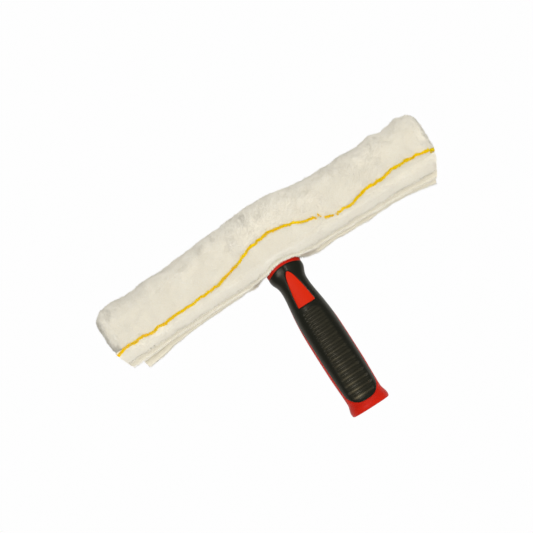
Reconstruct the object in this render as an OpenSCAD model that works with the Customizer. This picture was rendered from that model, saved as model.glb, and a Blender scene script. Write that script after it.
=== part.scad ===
// Window scrubber: a perforated crossbar in a plush sleeve, on a two-material handle.
// X runs along the crossbar and Y from the butt of the handle to the crossbar.
// Z points up while the tool lies on a table.
// The origin is the centre of the pole socket's mouth, in the butt face.

/* [Handle] */
// Length from the butt face to the crown of the collar rim
handle_length = 158; // [150:1:175]
// Width of the grip in the palm
palm_width = 37; // [35:0.5:40]
// Depth of the grip in the palm
palm_depth = 31; // [30:0.5:33]
// Width of the neck between the palm and the collar
neck_width = 27.6; // [25:0.2:31]
// Depth of the neck
neck_depth = 25; // [22:0.5:27]
// Width of the collar that meets the crossbar
collar_width = 35.2; // [34:0.2:38]
// Depth of the collar
collar_depth = 28.4; // [28:0.2:31]
// Width of the flared butt
butt_width = 39.6; // [38:0.2:44]
// Depth of the flared butt, which also sets the height that the tool lies at
butt_depth = 35; // [34:0.5:38]
// Radius round the edge of the butt face
butt_edge = 1.4; // [0.8:0.2:2]
// Radius of the arch along the top of the collar
arch_radius = 37; // [32:1:50]
// Height of the hard rim that shows above the grip
rim_height = 3.4; // [2:0.2:5]

/* [Grip] */
// Thickness of the moulded-on grip
grip_thickness = 2.2; // [1.6:0.1:2.4]
// Distance from the butt face to the lower end of the grip panels
panel_start = 8.8; // [7:0.2:12]
// Width of the grip panels near the butt
panel_width = 33.2; // [29:0.2:34]
// Distance from the crown of the collar rim down to where the side bands end
band_drop = 40; // [34:1:50]
// Distance from one rib to the next
rib_pitch = 3.4; // [2.8:0.2:5]
// Height of the bold ribs above the grooves
rib_height = 1.1; // [0.6:0.1:1.4]
// Width of the ribbed field at the palm
field_width = 27; // [22:0.5:28]

/* [Badge] */
// Length of the tapered badge on the neck
badge_length = 35.4; // [28:0.2:37]
// Width of the badge at its wide end
badge_width = 18.6; // [14:0.2:20]
// Distance from the crown of the collar rim down to the wide end of the badge
badge_drop = 45.6; // [45:0.2:49]
// Depth of the badge below the surface of the grip
badge_recess = 0.4; // [0.2:0.1:0.8]

/* [Pole socket] */
// Diameter of the socket for an extension pole
socket_diameter = 22; // [18:0.5:23]
// Depth of the socket
socket_depth = 92; // [60:1:96]

/* [Crossbar] */
// Length of the crossbar without its end caps
bar_length = 330; // [230:5:430]
// Width of the crossbar, across the tool's front
bar_width = 36; // [34:0.5:42]
// Thickness of the crossbar
bar_thickness = 19; // [17:0.5:20]
// Wall thickness of the crossbar
bar_wall = 2; // [1.6:0.1:2.6]
// Distance from the crown of the collar rim to the edge of the crossbar
bar_standoff = 7; // [5:0.5:9]
// Length of one drain slot
slot_length = 16; // [10:1:20]
// Width of one drain slot
slot_width = 5; // [4:0.5:6]
// Distance from one drain slot to the next along the crossbar
slot_pitch = 25; // [22:1:32]

/* [Fork] */
// Width of the fork that grips the crossbar
fork_width = 30; // [26:0.5:32]
// Thickness of one tongue of the fork
tongue_thickness = 3.8; // [3.2:0.1:4]
// Length of the tongues along the crossbar's faces
tongue_reach = 12; // [10:0.5:14]
// Diameter of the screws through the fork
screw_diameter = 4; // [3:0.5:4.5]
// Distance between the two screws
screw_spacing = 16; // [13:0.5:17]

/* [Sleeve] */
// How far the sleeve runs past the crossbar at each closed end
sleeve_overhang = 11; // [9:0.5:20]
// Height of the pile
pile_height = 8; // [5:0.5:10]
// Thickness of the fabric that carries the pile
backing = 1.2; // [0.8:0.1:1.6]
// How far the collar lifts the sleeve off the top of the crossbar
crown_lift = 7; // [4:0.5:9]
// Distance that the front lip hangs below the crossbar
front_drop = 12.6; // [11.6:0.2:13]
// Distance that the back lip hangs below the crossbar
back_drop = 17.4; // [15:0.2:18]
// Distance from each end of the sleeve to the end of the front lip
front_lip_inset = 11; // [8:0.5:14]
// Distance from each end of the sleeve to the end of the back lip
back_lip_inset = 18; // [11:0.5:23]
// Height of the rolled hem on each lip
hem_height = 4.4; // [3:0.2:5]
// Thickness of the rolled hem
hem_thickness = 2.6; // [2:0.1:3]
// Width of the fastening tapes
tape_width = 9; // [7:0.5:9.5]
// Thickness of one fastening tape
tape_thickness = 1.5; // [1:0.1:1.8]
// Distance from the end of the back lip to the end of a fastening tape
tape_inset = 5.2; // [4:0.2:40]

/* [Hidden] */
$fn = 48;

red_plastic = [0.82, 0.12, 0.10];
badge_red = [0.87, 0.17, 0.10];
black_rubber = [0.13, 0.13, 0.12];
grey_plastic = [0.72, 0.73, 0.74];
steel = [0.75, 0.76, 0.78];
plush = [0.93, 0.91, 0.84];
hem_cloth = [0.96, 0.94, 0.89];
tape_white = [0.90, 0.90, 0.88];

seat_gap = 0.15;       // between hard pieces that seat on each other
moulding_gap = 0.09;   // between the core and what is moulded or glued on it
soft_gap = 0.5;        // between the sleeve and what it covers
fold_gap = 0.3;        // between the sleeve and a lip, at the fold
over = 1;              // how far a cut runs past the solid

rest_depth = butt_depth / 2;
band_end = handle_length - band_drop;
badge_start = handle_length - badge_drop;
sleeve_length = bar_length + 2 * sleeve_overhang;
front_lip_length = sleeve_length - 2 * front_lip_inset;
back_lip_length = sleeve_length - 2 * back_lip_inset;
core_half_depth = bar_thickness / 2 + seat_gap + tongue_thickness;
bar_y = handle_length + bar_standoff + bar_width / 2;
bar_edge = handle_length + bar_standoff;
round_y = bar_width / 2 - bar_thickness / 2;
arch_y = handle_length - arch_radius;

// Joins a and b by the share t, from 0 to 1.
function mix(a, b, t) = a + (b - a) * t;
function clamp01(t) = max(0, min(1, t));
function ease(t) = let (s = clamp01(t)) s * s * (3 - 2 * s);
function reversed(v) = [for (i = [len(v) - 1:-1:0]) v[i]];
// Height of the arch over the collar at the distance x from its middle.
function arch(x, radius) = arch_y + sqrt(radius * radius - x * x);

// A closed surface through rings of points, each ring with the same even count.
// The first half of a ring runs out and the second half comes back beside it.
module swept(rings) {
    n = len(rings[0]);
    last = len(rings) - 1;
    half = n / 2;
    sides = [for (i = [0:last - 1], j = [0:n - 1])
        let (a = i * n + j, b = i * n + (j + 1) % n, c = b + n, d = a + n)
        each [[a, b, c], [a, c, d]]];
    caps = [for (i = [0:half - 2])
        let (a = i, b = i + 1, c = n - 2 - i, d = n - 1 - i)
        each [[a, c, b], [a, d, c]]];
    end = last * n;
    ends = [for (f = caps) [f[0] + end, f[2] + end, f[1] + end]];
    polyhedron(points = [for (r = rings) each r], faces = concat(sides, caps, ends), convexity = 8);
}

// A shell between two grids of points that close round, without the cells that hole() names.
module shell(outer, inner) {
    rows = len(outer);
    n = len(outer[0]);
    inside = rows * n;
    function gone(r, c) = r < 0 || r > rows - 2 || hole(outer[r][0][3], (c + n) % n);
    faces = [for (r = [0:rows - 2], c = [0:n - 1]) if (!gone(r, c))
        let (a = r * n + c, b = r * n + (c + 1) % n, e = b + n, d = a + n, i = inside)
        each concat([[a, b, e], [a, e, d], [a + i, e + i, b + i], [a + i, d + i, e + i]],
            gone(r - 1, c) ? [[b, a, a + i], [b, a + i, b + i]] : [],
            gone(r + 1, c) ? [[d, e, e + i], [d, e + i, d + i]] : [],
            gone(r, c - 1) ? [[a, d, d + i], [a, d + i, a + i]] : [],
            gone(r, c + 1) ? [[e, b, b + i], [e, b + i, e + i]] : [])];
    flat = [for (r = concat(outer, inner)) each [for (q = r) [q[0], q[1], q[2]]]];
    polyhedron(points = flat, faces = faces, convexity = 10);
}

// Handle

// Where the handle's outline has a maximum or a minimum: distance from the butt face, half
// width, half depth, how late the change towards the next place comes, and how square it is.
stations = [
    [0, butt_width / 2 - 0.3, butt_depth / 2 - 0.3, 1, 2.3],
    [3.5, butt_width / 2, butt_depth / 2, 1, 2.3],
    [13, palm_width / 2 - 1.2, palm_depth / 2 - 0.9, 1, 2.3],
    [46, palm_width / 2, palm_depth / 2, 2, 2.3],
    [handle_length - 26, neck_width / 2, neck_depth / 2, 1.4, 2.3],
    [handle_length - 6.6, collar_width / 2, collar_depth / 2, 1, 3],
    [handle_length + 30, collar_width / 2, collar_depth / 2, 1, 3]];

function station_before(y, i = 0) =
    i >= len(stations) - 2 || y < stations[i + 1][0] ? i : station_before(y, i + 1);
// Half width (k = 1), half depth (k = 2) or squareness (k = 4) of the handle at y.
function handle_half(y, k) =
    let (i = station_before(y), a = stations[i], b = stations[i + 1],
         t = clamp01((y - a[0]) / (b[0] - a[0])),
         e = k == 4 ? 0 : max(0, butt_edge - y))
    mix(a[k], b[k], ease(pow(t, a[3]))) - (butt_edge - sqrt(butt_edge * butt_edge - e * e));

// A point of an oval with the half width a, the half depth b and the squareness s.
function oval(a, b, angle, s = 2.3) =
    [a * sign(cos(angle)) * pow(abs(cos(angle)), 2 / s),
     b * sign(sin(angle)) * pow(abs(sin(angle)), 2 / s)];
// The angle at which the handle's surface has the half width x, or the half depth z.
function angle_at_x(x, y) = acos(pow(clamp01(x / handle_half(y, 1)), handle_half(y, 4) / 2));
function angle_at_z(z, y) = asin(pow(clamp01(z / handle_half(y, 2)), handle_half(y, 4) / 2));

// Half width of the tapered badge at y.
badge_end = badge_start + badge_length;
function badge_half(y) =
    let (u = clamp01((badge_end - y) / badge_length))
    max(1.7, badge_width / 2 * pow(u, 0.46) - (u > 0.97 ? 1.2 : 0));

field_start = panel_start + 4.2;
rib_rows = floor((badge_start - 3.4 - field_start) / rib_pitch);
field_end = field_start + rib_rows * rib_pitch;
// Half width of the grip panel at y: it starts in a round edge near the butt.
function panel_half(y) =
    let (t = clamp01((y - panel_start) / 17))
    mix(2.6, panel_width / 2, pow(1 - pow(1 - t, 2.4), 1 / 2.4));
// Half depth of the side bands at y, between the front and the back panel.
band_edge = [[panel_start - 3, 7.6], [30, 6.8], [66, 5], [92, 4], [band_end - 9, 2.6],
             [band_end - 2, 1.3], [band_end, 1], [handle_length + 30, 1]];
function band_half(y) =
    let (x = panel_half(y) / handle_half(y, 1), s = handle_half(y, 4))
    min(handle_half(y, 2) * 0.99,
        max(lookup(y, band_edge), handle_half(y, 2) * pow(1 - pow(min(1, x), s), 1 / s)));
// Half width of the ribbed field, or of the badge, at y.
function field_half(y) =
    y > badge_start - 0.01 ? badge_half(y)
    : max(1.2, min(panel_half(y) - 1.9, field_width / 2 - 3.4 * ease((y - field_start) / 96)));

// The angles round the handle where its surface is drawn, from the right to the left.
function half_ring(y, shrink = 0) =
    let (band = angle_at_z(band_half(y) - shrink, y), whole = angle_at_z(band_half(y), y),
         edge = shrink > 0 ? mix(band, whole, 0.7) : whole + 0.4,
         field = angle_at_x(field_half(y), y), rim = angle_at_x(field_half(y) + 0.8, y),
         q = concat([band / 3, band * 2 / 3, band],
             shrink > 0 ? [edge, max(edge + 0.3, rim)] : [max(edge, rim)],
             [field, mix(field, 90, 0.5)]))
    concat(q, [90], [for (t = reversed(q)) 180 - t]);
half_count = 13;
// Rows bend from straight to the arch of the collar.
function row_y(y, x) =
    let (k = ease((y - neck_y) / (handle_length - 9 - neck_y)), w = min(abs(x), collar_width / 2))
    y - k * (arch_radius - sqrt(arch_radius * arch_radius - w * w));
neck_y = handle_length - 32;
// One point of the handle's surface at the depth inset, raised by up.
function ring_point(y, angle, inset = 0, up = 0) =
    let (s = handle_half(y, 4), q = oval(handle_half(y, 1), handle_half(y, 2), angle, s),
         p = oval(handle_half(y, 1) - inset, handle_half(y, 2) - inset, angle, s))
    [p[0], row_y(y, q[0]), p[1] + sign(p[1]) * up, y];
function full_ring(half) = concat([for (t = half) -t], [for (t = reversed(half)) t]);

// Ribs alternate between bold and fine, and the bold ones grow towards the butt.
function rib_crest(i) = rib_height * (i % 2 == 0 ? mix(0.6, 0.35, i / rib_rows) : 0.15);
badge_rows = [for (u = [0, 0.06, 0.22, 0.42, 0.62, 0.8, 0.92, 1]) mix(badge_start, badge_end, u)];
collar_rows = [badge_end + 0.8, handle_length - 6.6];
rim_start = handle_length - rim_height;
grip_rows = concat([[panel_start, 0], [panel_start + 0.9, 0], [panel_start + 2.4, 0]],
    [for (i = [0:rib_rows - 1]) each [[field_start + i * rib_pitch, -rib_height * 0.5],
                                      [field_start + (i + 0.5) * rib_pitch, rib_crest(i)]]],
    [[field_end, -rib_height * 0.5], [field_end + 1.2, 0]],
    [for (y = concat(badge_rows, collar_rows, [rim_start])) [y, 0]]);

// Fork

fork_top = bar_edge + tongue_reach;
screw_y = bar_edge + tongue_reach - screw_diameter - 1;
head_radius = screw_diameter * 0.9;
head_height = screw_diameter * 0.45;
screw_length = 2 * core_half_depth - head_height - 1;

module racetrack(grow = 0) {
    r = bar_thickness / 2 + grow;
    for (s = [-1, 1]) translate([s * round_y, 0]) circle(r);
    square([2 * round_y, 2 * r], center = true);
}
// A profile drawn in the crossbar's cross-section, drawn out along X.
module along_bar(length) {
    translate([-length / 2, bar_y, 0]) rotate([90, 0, 90]) linear_extrude(length) children();
}

module at_screws() {
    for (s = [-1, 1]) translate([s * screw_spacing / 2, screw_y, 0]) children();
}

// A ring of the core: its sides show between the grip panels, and the rest lies under them.
function core_ring(y, sides, rest) =
    let (half = half_ring(y, y < band_end - 0.18 ? 0.16 : 0.01), n = len(half) - 1,
         p = [for (i = [0:n]) ring_point(y, half[i], i < 3 || i > n - 3 ? sides : rest)],
         q = [for (i = [0:n]) sides == rest && (i == 3 || i == n - 3)
              ? (p[i - 1] + p[i + 1]) / 2 : p[i]])
    [for (side = [-1, 1], i = side < 0 ? [0:n] : [n:-1:0]) [q[i][0], q[i][1], side * q[i][2]]];
// A ring of the fork that carries the crossbar, no wider than w on each side.
function fork_ring(y, w, arched) =
    [for (t = full_ring(half_ring(handle_length, 0.16)))
        let (q = oval(fork_width / 2 + 1.6, core_half_depth, t, 3.2),
             x = max(-w, min(w, q[0])) + 0.3 * cos(t))
        [x, arched ? row_y(y, q[0]) : y, q[1]]];
core_rows = concat([for (i = [8:2 * rib_rows - 1]) field_start + i * rib_pitch / 2],
                   [field_end, field_end + 1.2], badge_rows, collar_rows);
// The core keeps clear of the grip where the neck bends into the collar.
neck_clearance = 2.6;
function neck_gap(y) = neck_clearance * ease((y - badge_end + 22) / 9);
module core_form() {
    under = grip_thickness + moulding_gap;
    band_rows = [for (y = core_rows) if (y < band_end) y];
    neck_rows = [for (y = core_rows) if (y > band_end) y];
    w = fork_width / 2;
    low = panel_start - 2 * moulding_gap;
    swept(concat(
        [for (y = [0, 0.4, butt_edge, 3.5, 6.2, low]) core_ring(y, 0, 0)],
        [for (y = [low + 0.04, panel_start + 0.9, panel_start + 2.4]) core_ring(y, 0, under)],
        [for (k = [0:0.5:3.5]) core_ring(field_start + k * rib_pitch, 0, under)],
        [for (y = band_rows) core_ring(y, 0, under)],
        [core_ring(band_end - 0.2, 0, under), core_ring(band_end - 0.16, under, under)],
        [for (y = neck_rows) core_ring(y, under + neck_gap(y), under + neck_gap(y))],
        [core_ring(rim_start + 0.35, under + neck_clearance, under + neck_clearance),
         core_ring(rim_start + 0.39, 0, 0),
         core_ring(handle_length - 0.5, 0, 0), core_ring(handle_length, 0.5, 0.5),
         fork_ring(handle_length + 0.06, w, true), fork_ring(bar_edge + 1, w, false),
         fork_ring(fork_top - 5, w, false), fork_ring(fork_top - 1.5, w - 1.3, false),
         fork_ring(fork_top, w - 4.5, false)]));
}

module handle_core() {
    color(red_plastic) difference() {
        core_form();
        along_bar(fork_width + 8) racetrack(seat_gap);
        translate([0, -over, 0]) rotate([-90, 0, 0])
            cylinder(d = socket_diameter, h = socket_depth + over);
        at_screws() translate([0, 0, -core_half_depth - over])
            cylinder(d = screw_diameter + 0.04, h = screw_length + head_height + over + 0.4);
        at_screws() translate([0, 0, -core_half_depth - over])
            cylinder(r = head_radius + 0.3, h = head_height + over);
    }
}

// Grip

// Which cells of the grip's grid are open: the side bands and the badge.
function hole(y, c) =
    (y < band_end - 0.2 && ((c > 9 && c < 15) || c > 22 || c < 2))
    || (y > badge_start - 0.01 && y < badge_end - 0.01 && c > 16 && c < 21);
function in_field(i) = i > 3 && i < half_count - 4;
module grip_cover() {
    rows = concat([for (r = grip_rows) if (r[0] < band_end) r], [[band_end, 0]],
                  [for (r = grip_rows) if (r[0] > band_end) r]);
    function grid(inset, ribbed) = [for (r = rows)
        let (half = half_ring(r[0]), n = half_count - 1)
        [for (side = [-1, 1], i = side < 0 ? [0:n] : [n:-1:0])
            ring_point(r[0], side * half[i], inset, ribbed && in_field(i) ? r[1] : 0)]];
    color(black_rubber) shell(grid(0, true), grid(grip_thickness, false));
}

module badge_inlay() {
    gap = seat_gap * 0.6;
    last = len(badge_rows) - 1;
    color(badge_red) swept([for (k = [0:last])
        let (y = badge_rows[k], f = angle_at_x(field_half(y) - gap, y), m = mix(f, 90, 0.5),
             shift = k == 0 ? gap : k == last ? -gap : 0,
             outer = [for (t = [f, m, 90, 180 - m, 180 - f]) ring_point(y, t, badge_recess)],
             inner = [for (t = [180 - f, 180 - m, 90, m, f]) ring_point(y, t, grip_thickness)],
             ring = concat(inner, outer))
        [for (q = reversed(ring)) [q[0], q[1] + shift, q[2]]]]);
}

// Crossbar

web_offset = bar_width / 6;
web = bar_wall * 0.8;
module webs(grow = 0) {
    for (s = [-1, 1])
        translate([s * web_offset, 0]) square([web + 2 * grow, bar_thickness], center = true);
}
module drain_slot() {
    run = slot_length - slot_width;
    depth = bar_thickness + 2 * over;
    for (s = [-1, 1])
        translate([s * run / 2, 0, 0]) cylinder(d = slot_width, h = depth, center = true);
    cube([run, slot_width, depth], center = true);
}

module crossbar() {
    clear_half = fork_width / 2 + slot_length / 2 + 4;
    slots = floor((bar_length / 2 - cap_plug - slot_length / 2 - 4 - clear_half) / slot_pitch);
    color(grey_plastic) difference() {
        along_bar(bar_length) {
            difference() {
                racetrack();
                racetrack(-bar_wall);
            }
            intersection() {
                racetrack(-bar_wall / 2);
                webs();
            }
        }
        for (s = [-1, 1], i = [0:slots])
            translate([s * (clear_half + i * slot_pitch), bar_y, 0]) {
                drain_slot();
                for (row = [-1, 1]) translate([0, row * (web_offset + round_y + 1) , 0])
                    drain_slot();
            }
        at_screws() cylinder(d = screw_diameter + 0.4, h = bar_thickness + 2 * over, center = true);
    }
}

cap_plug = 9;
cap_plate = 2.4;
module end_cap(side) {
    color(black_rubber) translate([side * bar_length / 2, 0, 0]) mirror([side < 0 ? 1 : 0, 0, 0]) {
        hull() {
            translate([cap_plate / 4 + 0.02, 0, 0]) along_bar(cap_plate / 2) racetrack();
            translate([cap_plate - 0.2, 0, 0]) along_bar(0.4) racetrack(-1);
        }
        translate([-cap_plug / 2 + 0.1, 0, 0]) along_bar(cap_plug) difference() {
            racetrack(-bar_wall - seat_gap);
            racetrack(-bar_wall - seat_gap - 1.6);
            webs(seat_gap);
        }
    }
}
module end_cap_left() end_cap(-1);
module end_cap_right() end_cap(1);

module fork_screws() {
    color(steel) at_screws() translate([0, 0, -core_half_depth]) difference() {
        union() {
            cylinder(r = head_radius, h = head_height - 0.02);
            cylinder(d = screw_diameter, h = screw_length + head_height - 0.02);
        }
        for (a = [0, 90]) rotate(a)
            cube([head_radius, head_radius * 0.24, head_height], center = true);
    }
}

// Sleeve

fold_y = bar_edge + 3;
half_in = bar_thickness / 2 + soft_gap;
half_fork = core_half_depth + soft_gap;
fabric = backing + pile_height;
fold_height = half_fork + fabric;
end_wall = sleeve_length / 2 - bar_length / 2 - cap_plate - soft_gap;

// How open the sleeve is round the fork and the collar at x: 1 in the middle, 0 away from them.
open_half = collar_width / 2 + 1.2;
close_half = open_half + 20;
tape_start = close_half + 2;
tape_length = back_lip_length / 2 - tape_start - tape_inset;
function open_at(x) = 1 - ease((abs(x) - open_half) / (close_half - open_half));
// How far the middle of the sleeve is lifted off the crossbar at x.
function lift_at(x) = crown_lift * exp(-pow(x / 52, 2));

// Places along X where the sleeve's cross-section is drawn, for half the length given.
function sleeve_places(half_length) =
    let (near = [0, 7, 13, open_half, open_half + 5, open_half + 10, open_half + 15, close_half],
         far = [for (t = [0.25:0.25:1]) mix(close_half, half_length, t)],
         right = concat(near, far))
    concat([for (x = reversed(right)) if (x > 0) -x], right);

module sleeve_panel() {
    half_length = sleeve_length / 2 - end_wall;
    centre = bar_y + round_y;
    arc = [for (k = [0:8]) 90 - k * 22.5];
    color(plush) swept([for (x = sleeve_places(half_length))
        let (h = mix(half_in, half_fork, open_at(x)), up = bar_thickness / 2 + soft_gap + lift_at(x),
             inner = concat([[x, fold_y, h]],
                 [for (a = arc) [x, centre + up * cos(a), h * sin(a)]], [[x, fold_y, -h]]),
             outer = concat([[x, fold_y, h + fabric]],
                 [for (a = arc) [x, centre + (up + fabric) * cos(a),
                     (a > 0 ? h + fabric : rest_depth) * sin(a)]], [[x, fold_y, -rest_depth]]))
        concat(inner, reversed(outer))]);
}

module end_panel(side) {
    low = fold_y - 4;
    high = bar_y + bar_width / 2 + soft_gap + fabric;
    top = half_in + fabric;
    start = sleeve_length / 2 - end_wall;
    steps = [[0, 1], [0.4, 0.985], [0.72, 0.93], [0.92, 0.8], [1, 0.6]];
    points = 24;
    color(plush) mirror([side < 0 ? 1 : 0, 0, 0]) swept([for (s = steps)
        [for (j = [0:points - 1])
            let (q = oval((high - low) / 2 * s[1], (top + rest_depth) / 2 * s[1], 360 * (j + 0.5) / points))
            [start + end_wall * s[0], (low + high) / 2 + q[0], (top - rest_depth) / 2 + q[1]]]]);
}
module end_panel_left() end_panel(-1);
module end_panel_right() end_panel(1);

tape_face = tape_thickness + seat_gap;
// Where the edge of a lip lies at x: along the collar's rim in the middle, straight beyond it.
function lip_edge(x, drop) =
    mix(bar_edge - drop, arch(min(abs(x), collar_width / 2 - 0.4), arch_radius) + soft_gap, open_at(x));
// A lip's inner face at x, from the fold to its hem, above the middle plane.
function lip_inner(x, drop) =
    let (e = lip_edge(x, drop) + hem_height, m = open_at(x), f = fold_y - fold_gap,
         shut = [[f, half_in], [bar_edge, half_in * 0.7], [bar_edge - 2.8, tape_face + 0.4], [e, tape_face]],
         open = [[f, half_fork], [mix(f, e, 0.5), half_fork], [mix(f, e, 0.8), half_fork], [e, half_fork]])
    [for (i = [0:3]) [x, mix(shut[i][0], open[i][0], m), mix(shut[i][1], open[i][1], m)]];
// Its outer face, where full is the height of the sleeve's surface at the fold.
function lip_outer(x, drop, full, full_open) =
    let (e = lip_edge(x, drop) + hem_height, m = open_at(x), f = fold_y - fold_gap,
         low = tape_face + hem_thickness + 0.3,
         low_open = min(half_fork + hem_thickness + 0.8, full_open - 0.4),
         shut = [[f, full], [mix(f, e, 0.36), mix(full, low, 0.2)],
                 [mix(f, e, 0.74), mix(full, low, 0.62)], [e, low]],
         open = [[f, full_open], [mix(f, e, 0.4), mix(full_open, low_open, 0.1)],
                 [mix(f, e, 0.75), mix(full_open, low_open, 0.5)], [e, low_open]])
    [for (i = [0:3]) [x, mix(shut[i][0], open[i][0], m), mix(shut[i][1], open[i][1], m)]];

module lip(drop, length, full, full_open) {
    color(plush) swept([for (x = sleeve_places(length / 2))
        concat(lip_inner(x, drop), reversed(lip_outer(x, drop, full, full_open)))]);
}
module hem(drop, length, full_open) {
    points = 8;
    color(hem_cloth) swept([for (x = sleeve_places(length / 2))
        let (e = lip_edge(x, drop), m = open_at(x),
             thick = mix(hem_thickness, min(hem_thickness, full_open - half_fork - 0.4), m),
             z = mix(tape_face, half_fork, m) + thick / 2)
        [for (j = [0:points - 1])
            let (a = -360 * (j + 0.5) / points)
            [x, e + hem_height / 2 * (1 + cos(a)) - fold_gap / 4, z + thick / 2 * sin(a)]]]);
}
module tape(side, drop) {
    low = bar_edge - front_drop + 0.5;
    start = close_half + 2;
    translate([side > 0 ? start : -start - tape_length, low, seat_gap])
        cube([tape_length, tape_width, tape_thickness - 0.02]);
}

module front_lip() lip(front_drop, front_lip_length, half_in + fabric, fold_height);
module front_hem() hem(front_drop, front_lip_length, fold_height);
module loop_tape_left() color(tape_white) tape(-1);
module loop_tape_right() color(tape_white) tape(1);

module back_lip() mirror([0, 0, 1]) lip(back_drop, back_lip_length, rest_depth, rest_depth);
module back_hem() mirror([0, 0, 1]) hem(back_drop, back_lip_length, rest_depth);
module hook_tape_left() color(tape_white) mirror([0, 0, 1]) tape(-1);
module hook_tape_right() color(tape_white) mirror([0, 0, 1]) tape(1);

handle_core();
grip_cover();
badge_inlay();
crossbar();
end_cap_left();
end_cap_right();
fork_screws();
sleeve_panel();
end_panel_left();
end_panel_right();
front_lip();
front_hem();
loop_tape_left();
loop_tape_right();
back_lip();
back_hem();
hook_tape_left();
hook_tape_right();
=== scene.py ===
"""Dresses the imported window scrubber: a moulded two-material handle and a plush sleeve."""

import math

import bmesh
import bpy
import numpy as np
from bpy.props import FloatProperty, IntProperty, PointerProperty, StringProperty
from mathutils import Matrix, Vector


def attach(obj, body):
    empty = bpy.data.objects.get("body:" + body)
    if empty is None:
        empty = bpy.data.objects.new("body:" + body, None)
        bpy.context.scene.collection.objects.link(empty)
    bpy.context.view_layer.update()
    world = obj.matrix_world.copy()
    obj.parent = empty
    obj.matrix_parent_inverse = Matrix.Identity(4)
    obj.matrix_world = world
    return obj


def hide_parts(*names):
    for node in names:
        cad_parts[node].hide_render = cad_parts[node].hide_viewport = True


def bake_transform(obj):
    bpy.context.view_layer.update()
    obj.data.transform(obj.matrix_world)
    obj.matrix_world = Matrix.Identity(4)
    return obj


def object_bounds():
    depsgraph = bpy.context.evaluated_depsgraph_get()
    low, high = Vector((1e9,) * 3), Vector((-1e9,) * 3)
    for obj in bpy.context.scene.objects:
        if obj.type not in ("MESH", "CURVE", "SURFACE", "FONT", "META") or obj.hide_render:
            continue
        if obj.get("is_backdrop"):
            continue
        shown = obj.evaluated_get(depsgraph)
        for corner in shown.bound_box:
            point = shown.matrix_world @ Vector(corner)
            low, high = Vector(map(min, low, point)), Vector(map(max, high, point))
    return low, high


bl_info = {
    "name": "Window scrubber",
    "version": (1, 0, 0),
    "blender": (4, 5, 0),
    "location": "View3D > Sidebar > Scrubber",
    "description": "Builds the handle, the plush sleeve and the studio over the packed frame",
    "category": "Object",
}

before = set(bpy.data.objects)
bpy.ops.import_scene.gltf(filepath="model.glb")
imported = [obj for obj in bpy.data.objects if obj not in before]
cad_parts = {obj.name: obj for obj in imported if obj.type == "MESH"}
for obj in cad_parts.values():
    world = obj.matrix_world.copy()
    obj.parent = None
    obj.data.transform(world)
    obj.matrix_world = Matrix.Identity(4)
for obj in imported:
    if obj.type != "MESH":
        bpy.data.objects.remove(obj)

# Metres in a millimetre, and the photograph's scale in millimetres a pixel.
MM = 0.001
PIXEL = 0.93

# Sizes in millimetres, as in the part's source, but for the widths of the palm, the neck and the
# ribbed panel, which follow the photographed outline more closely.
HANDLE = 158.0
BUTT_W, BUTT_D, BUTT_EDGE = 39.6, 35.0, 1.4
PALM_W, PALM_D = 37.4, 31.0
NECK_W, NECK_D = 28.0, 25.0
COLLAR_W, COLLAR_D = 35.2, 28.4
ARCH_R, RIM_H = 37.0, 3.4
PANEL_START, PANEL_W, BAND_END = 8.8, 34.6, 118.0
RIB_PITCH, RIB_H, FIELD_W = 3.4, 1.1, 27.0
BADGE_START, BADGE_LEN, BADGE_W = 112.4, 35.4, 18.6
SOCKET_R, SOCKET_DEPTH, SOCKET_LEAD = 11.0, 92.0, 0.5
BAR_W, BAR_T = 36.0, 19.0
BAR_EDGE = HANDLE + 7.0
BAR_Y = BAR_EDGE + BAR_W / 2
ROUND_Y = BAR_W / 2 - BAR_T / 2
FORK_W, FORK_TOP, CORE_HALF = 30.0, BAR_EDGE + 12.0, BAR_T / 2 + 0.15 + 3.8
SLEEVE = 352.0
FABRIC = 9.2
HALF_IN, HALF_FORK = BAR_T / 2 + 0.5, CORE_HALF + 0.5
REST = BUTT_D / 2
LIFT = 7.0
FOLD_Y = BAR_EDGE + 3.0
OPEN_HALF = COLLAR_W / 2 + 1.2
CLOSE_HALF = OPEN_HALF + 20.0
FRONT_DROP, BACK_DROP = 12.6, 17.4
FRONT_LEN, BACK_LEN = 330.0, 316.0
HEM_H, HEM_T = 4.4, 2.6
TAPE_T, TAPE_W, TAPE_LEN = 1.5, 9.0, 112.0
TAPE_GAP, NAP = 0.15, 0.95
TAPE_FACE = TAPE_T + TAPE_GAP
HEM_PITCH, STITCH_LEN, STITCH_R = 3.2, 2.1, 0.17
SCREW_X, SCREW_Y, HEAD_R, HEAD_DEPTH = 8.0, BAR_EDGE + 7.0, 3.9, 1.8


# Numbers and meshes


def smooth(t):
    """A soft step from 0 to 1."""
    t = np.clip(t, 0.0, 1.0)
    return t * t * (3 - 2 * t)


def mix(a, b, t):
    return a + (b - a) * t


def linear(hex_colour):
    """An sRGB hex value as a linear colour."""
    out = []
    for i in (0, 2, 4):
        c = int(hex_colour[i : i + 2], 16) / 255
        out.append(c / 12.92 if c <= 0.04045 else ((c + 0.055) / 1.055) ** 2.4)
    return (*out, 1.0)


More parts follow.
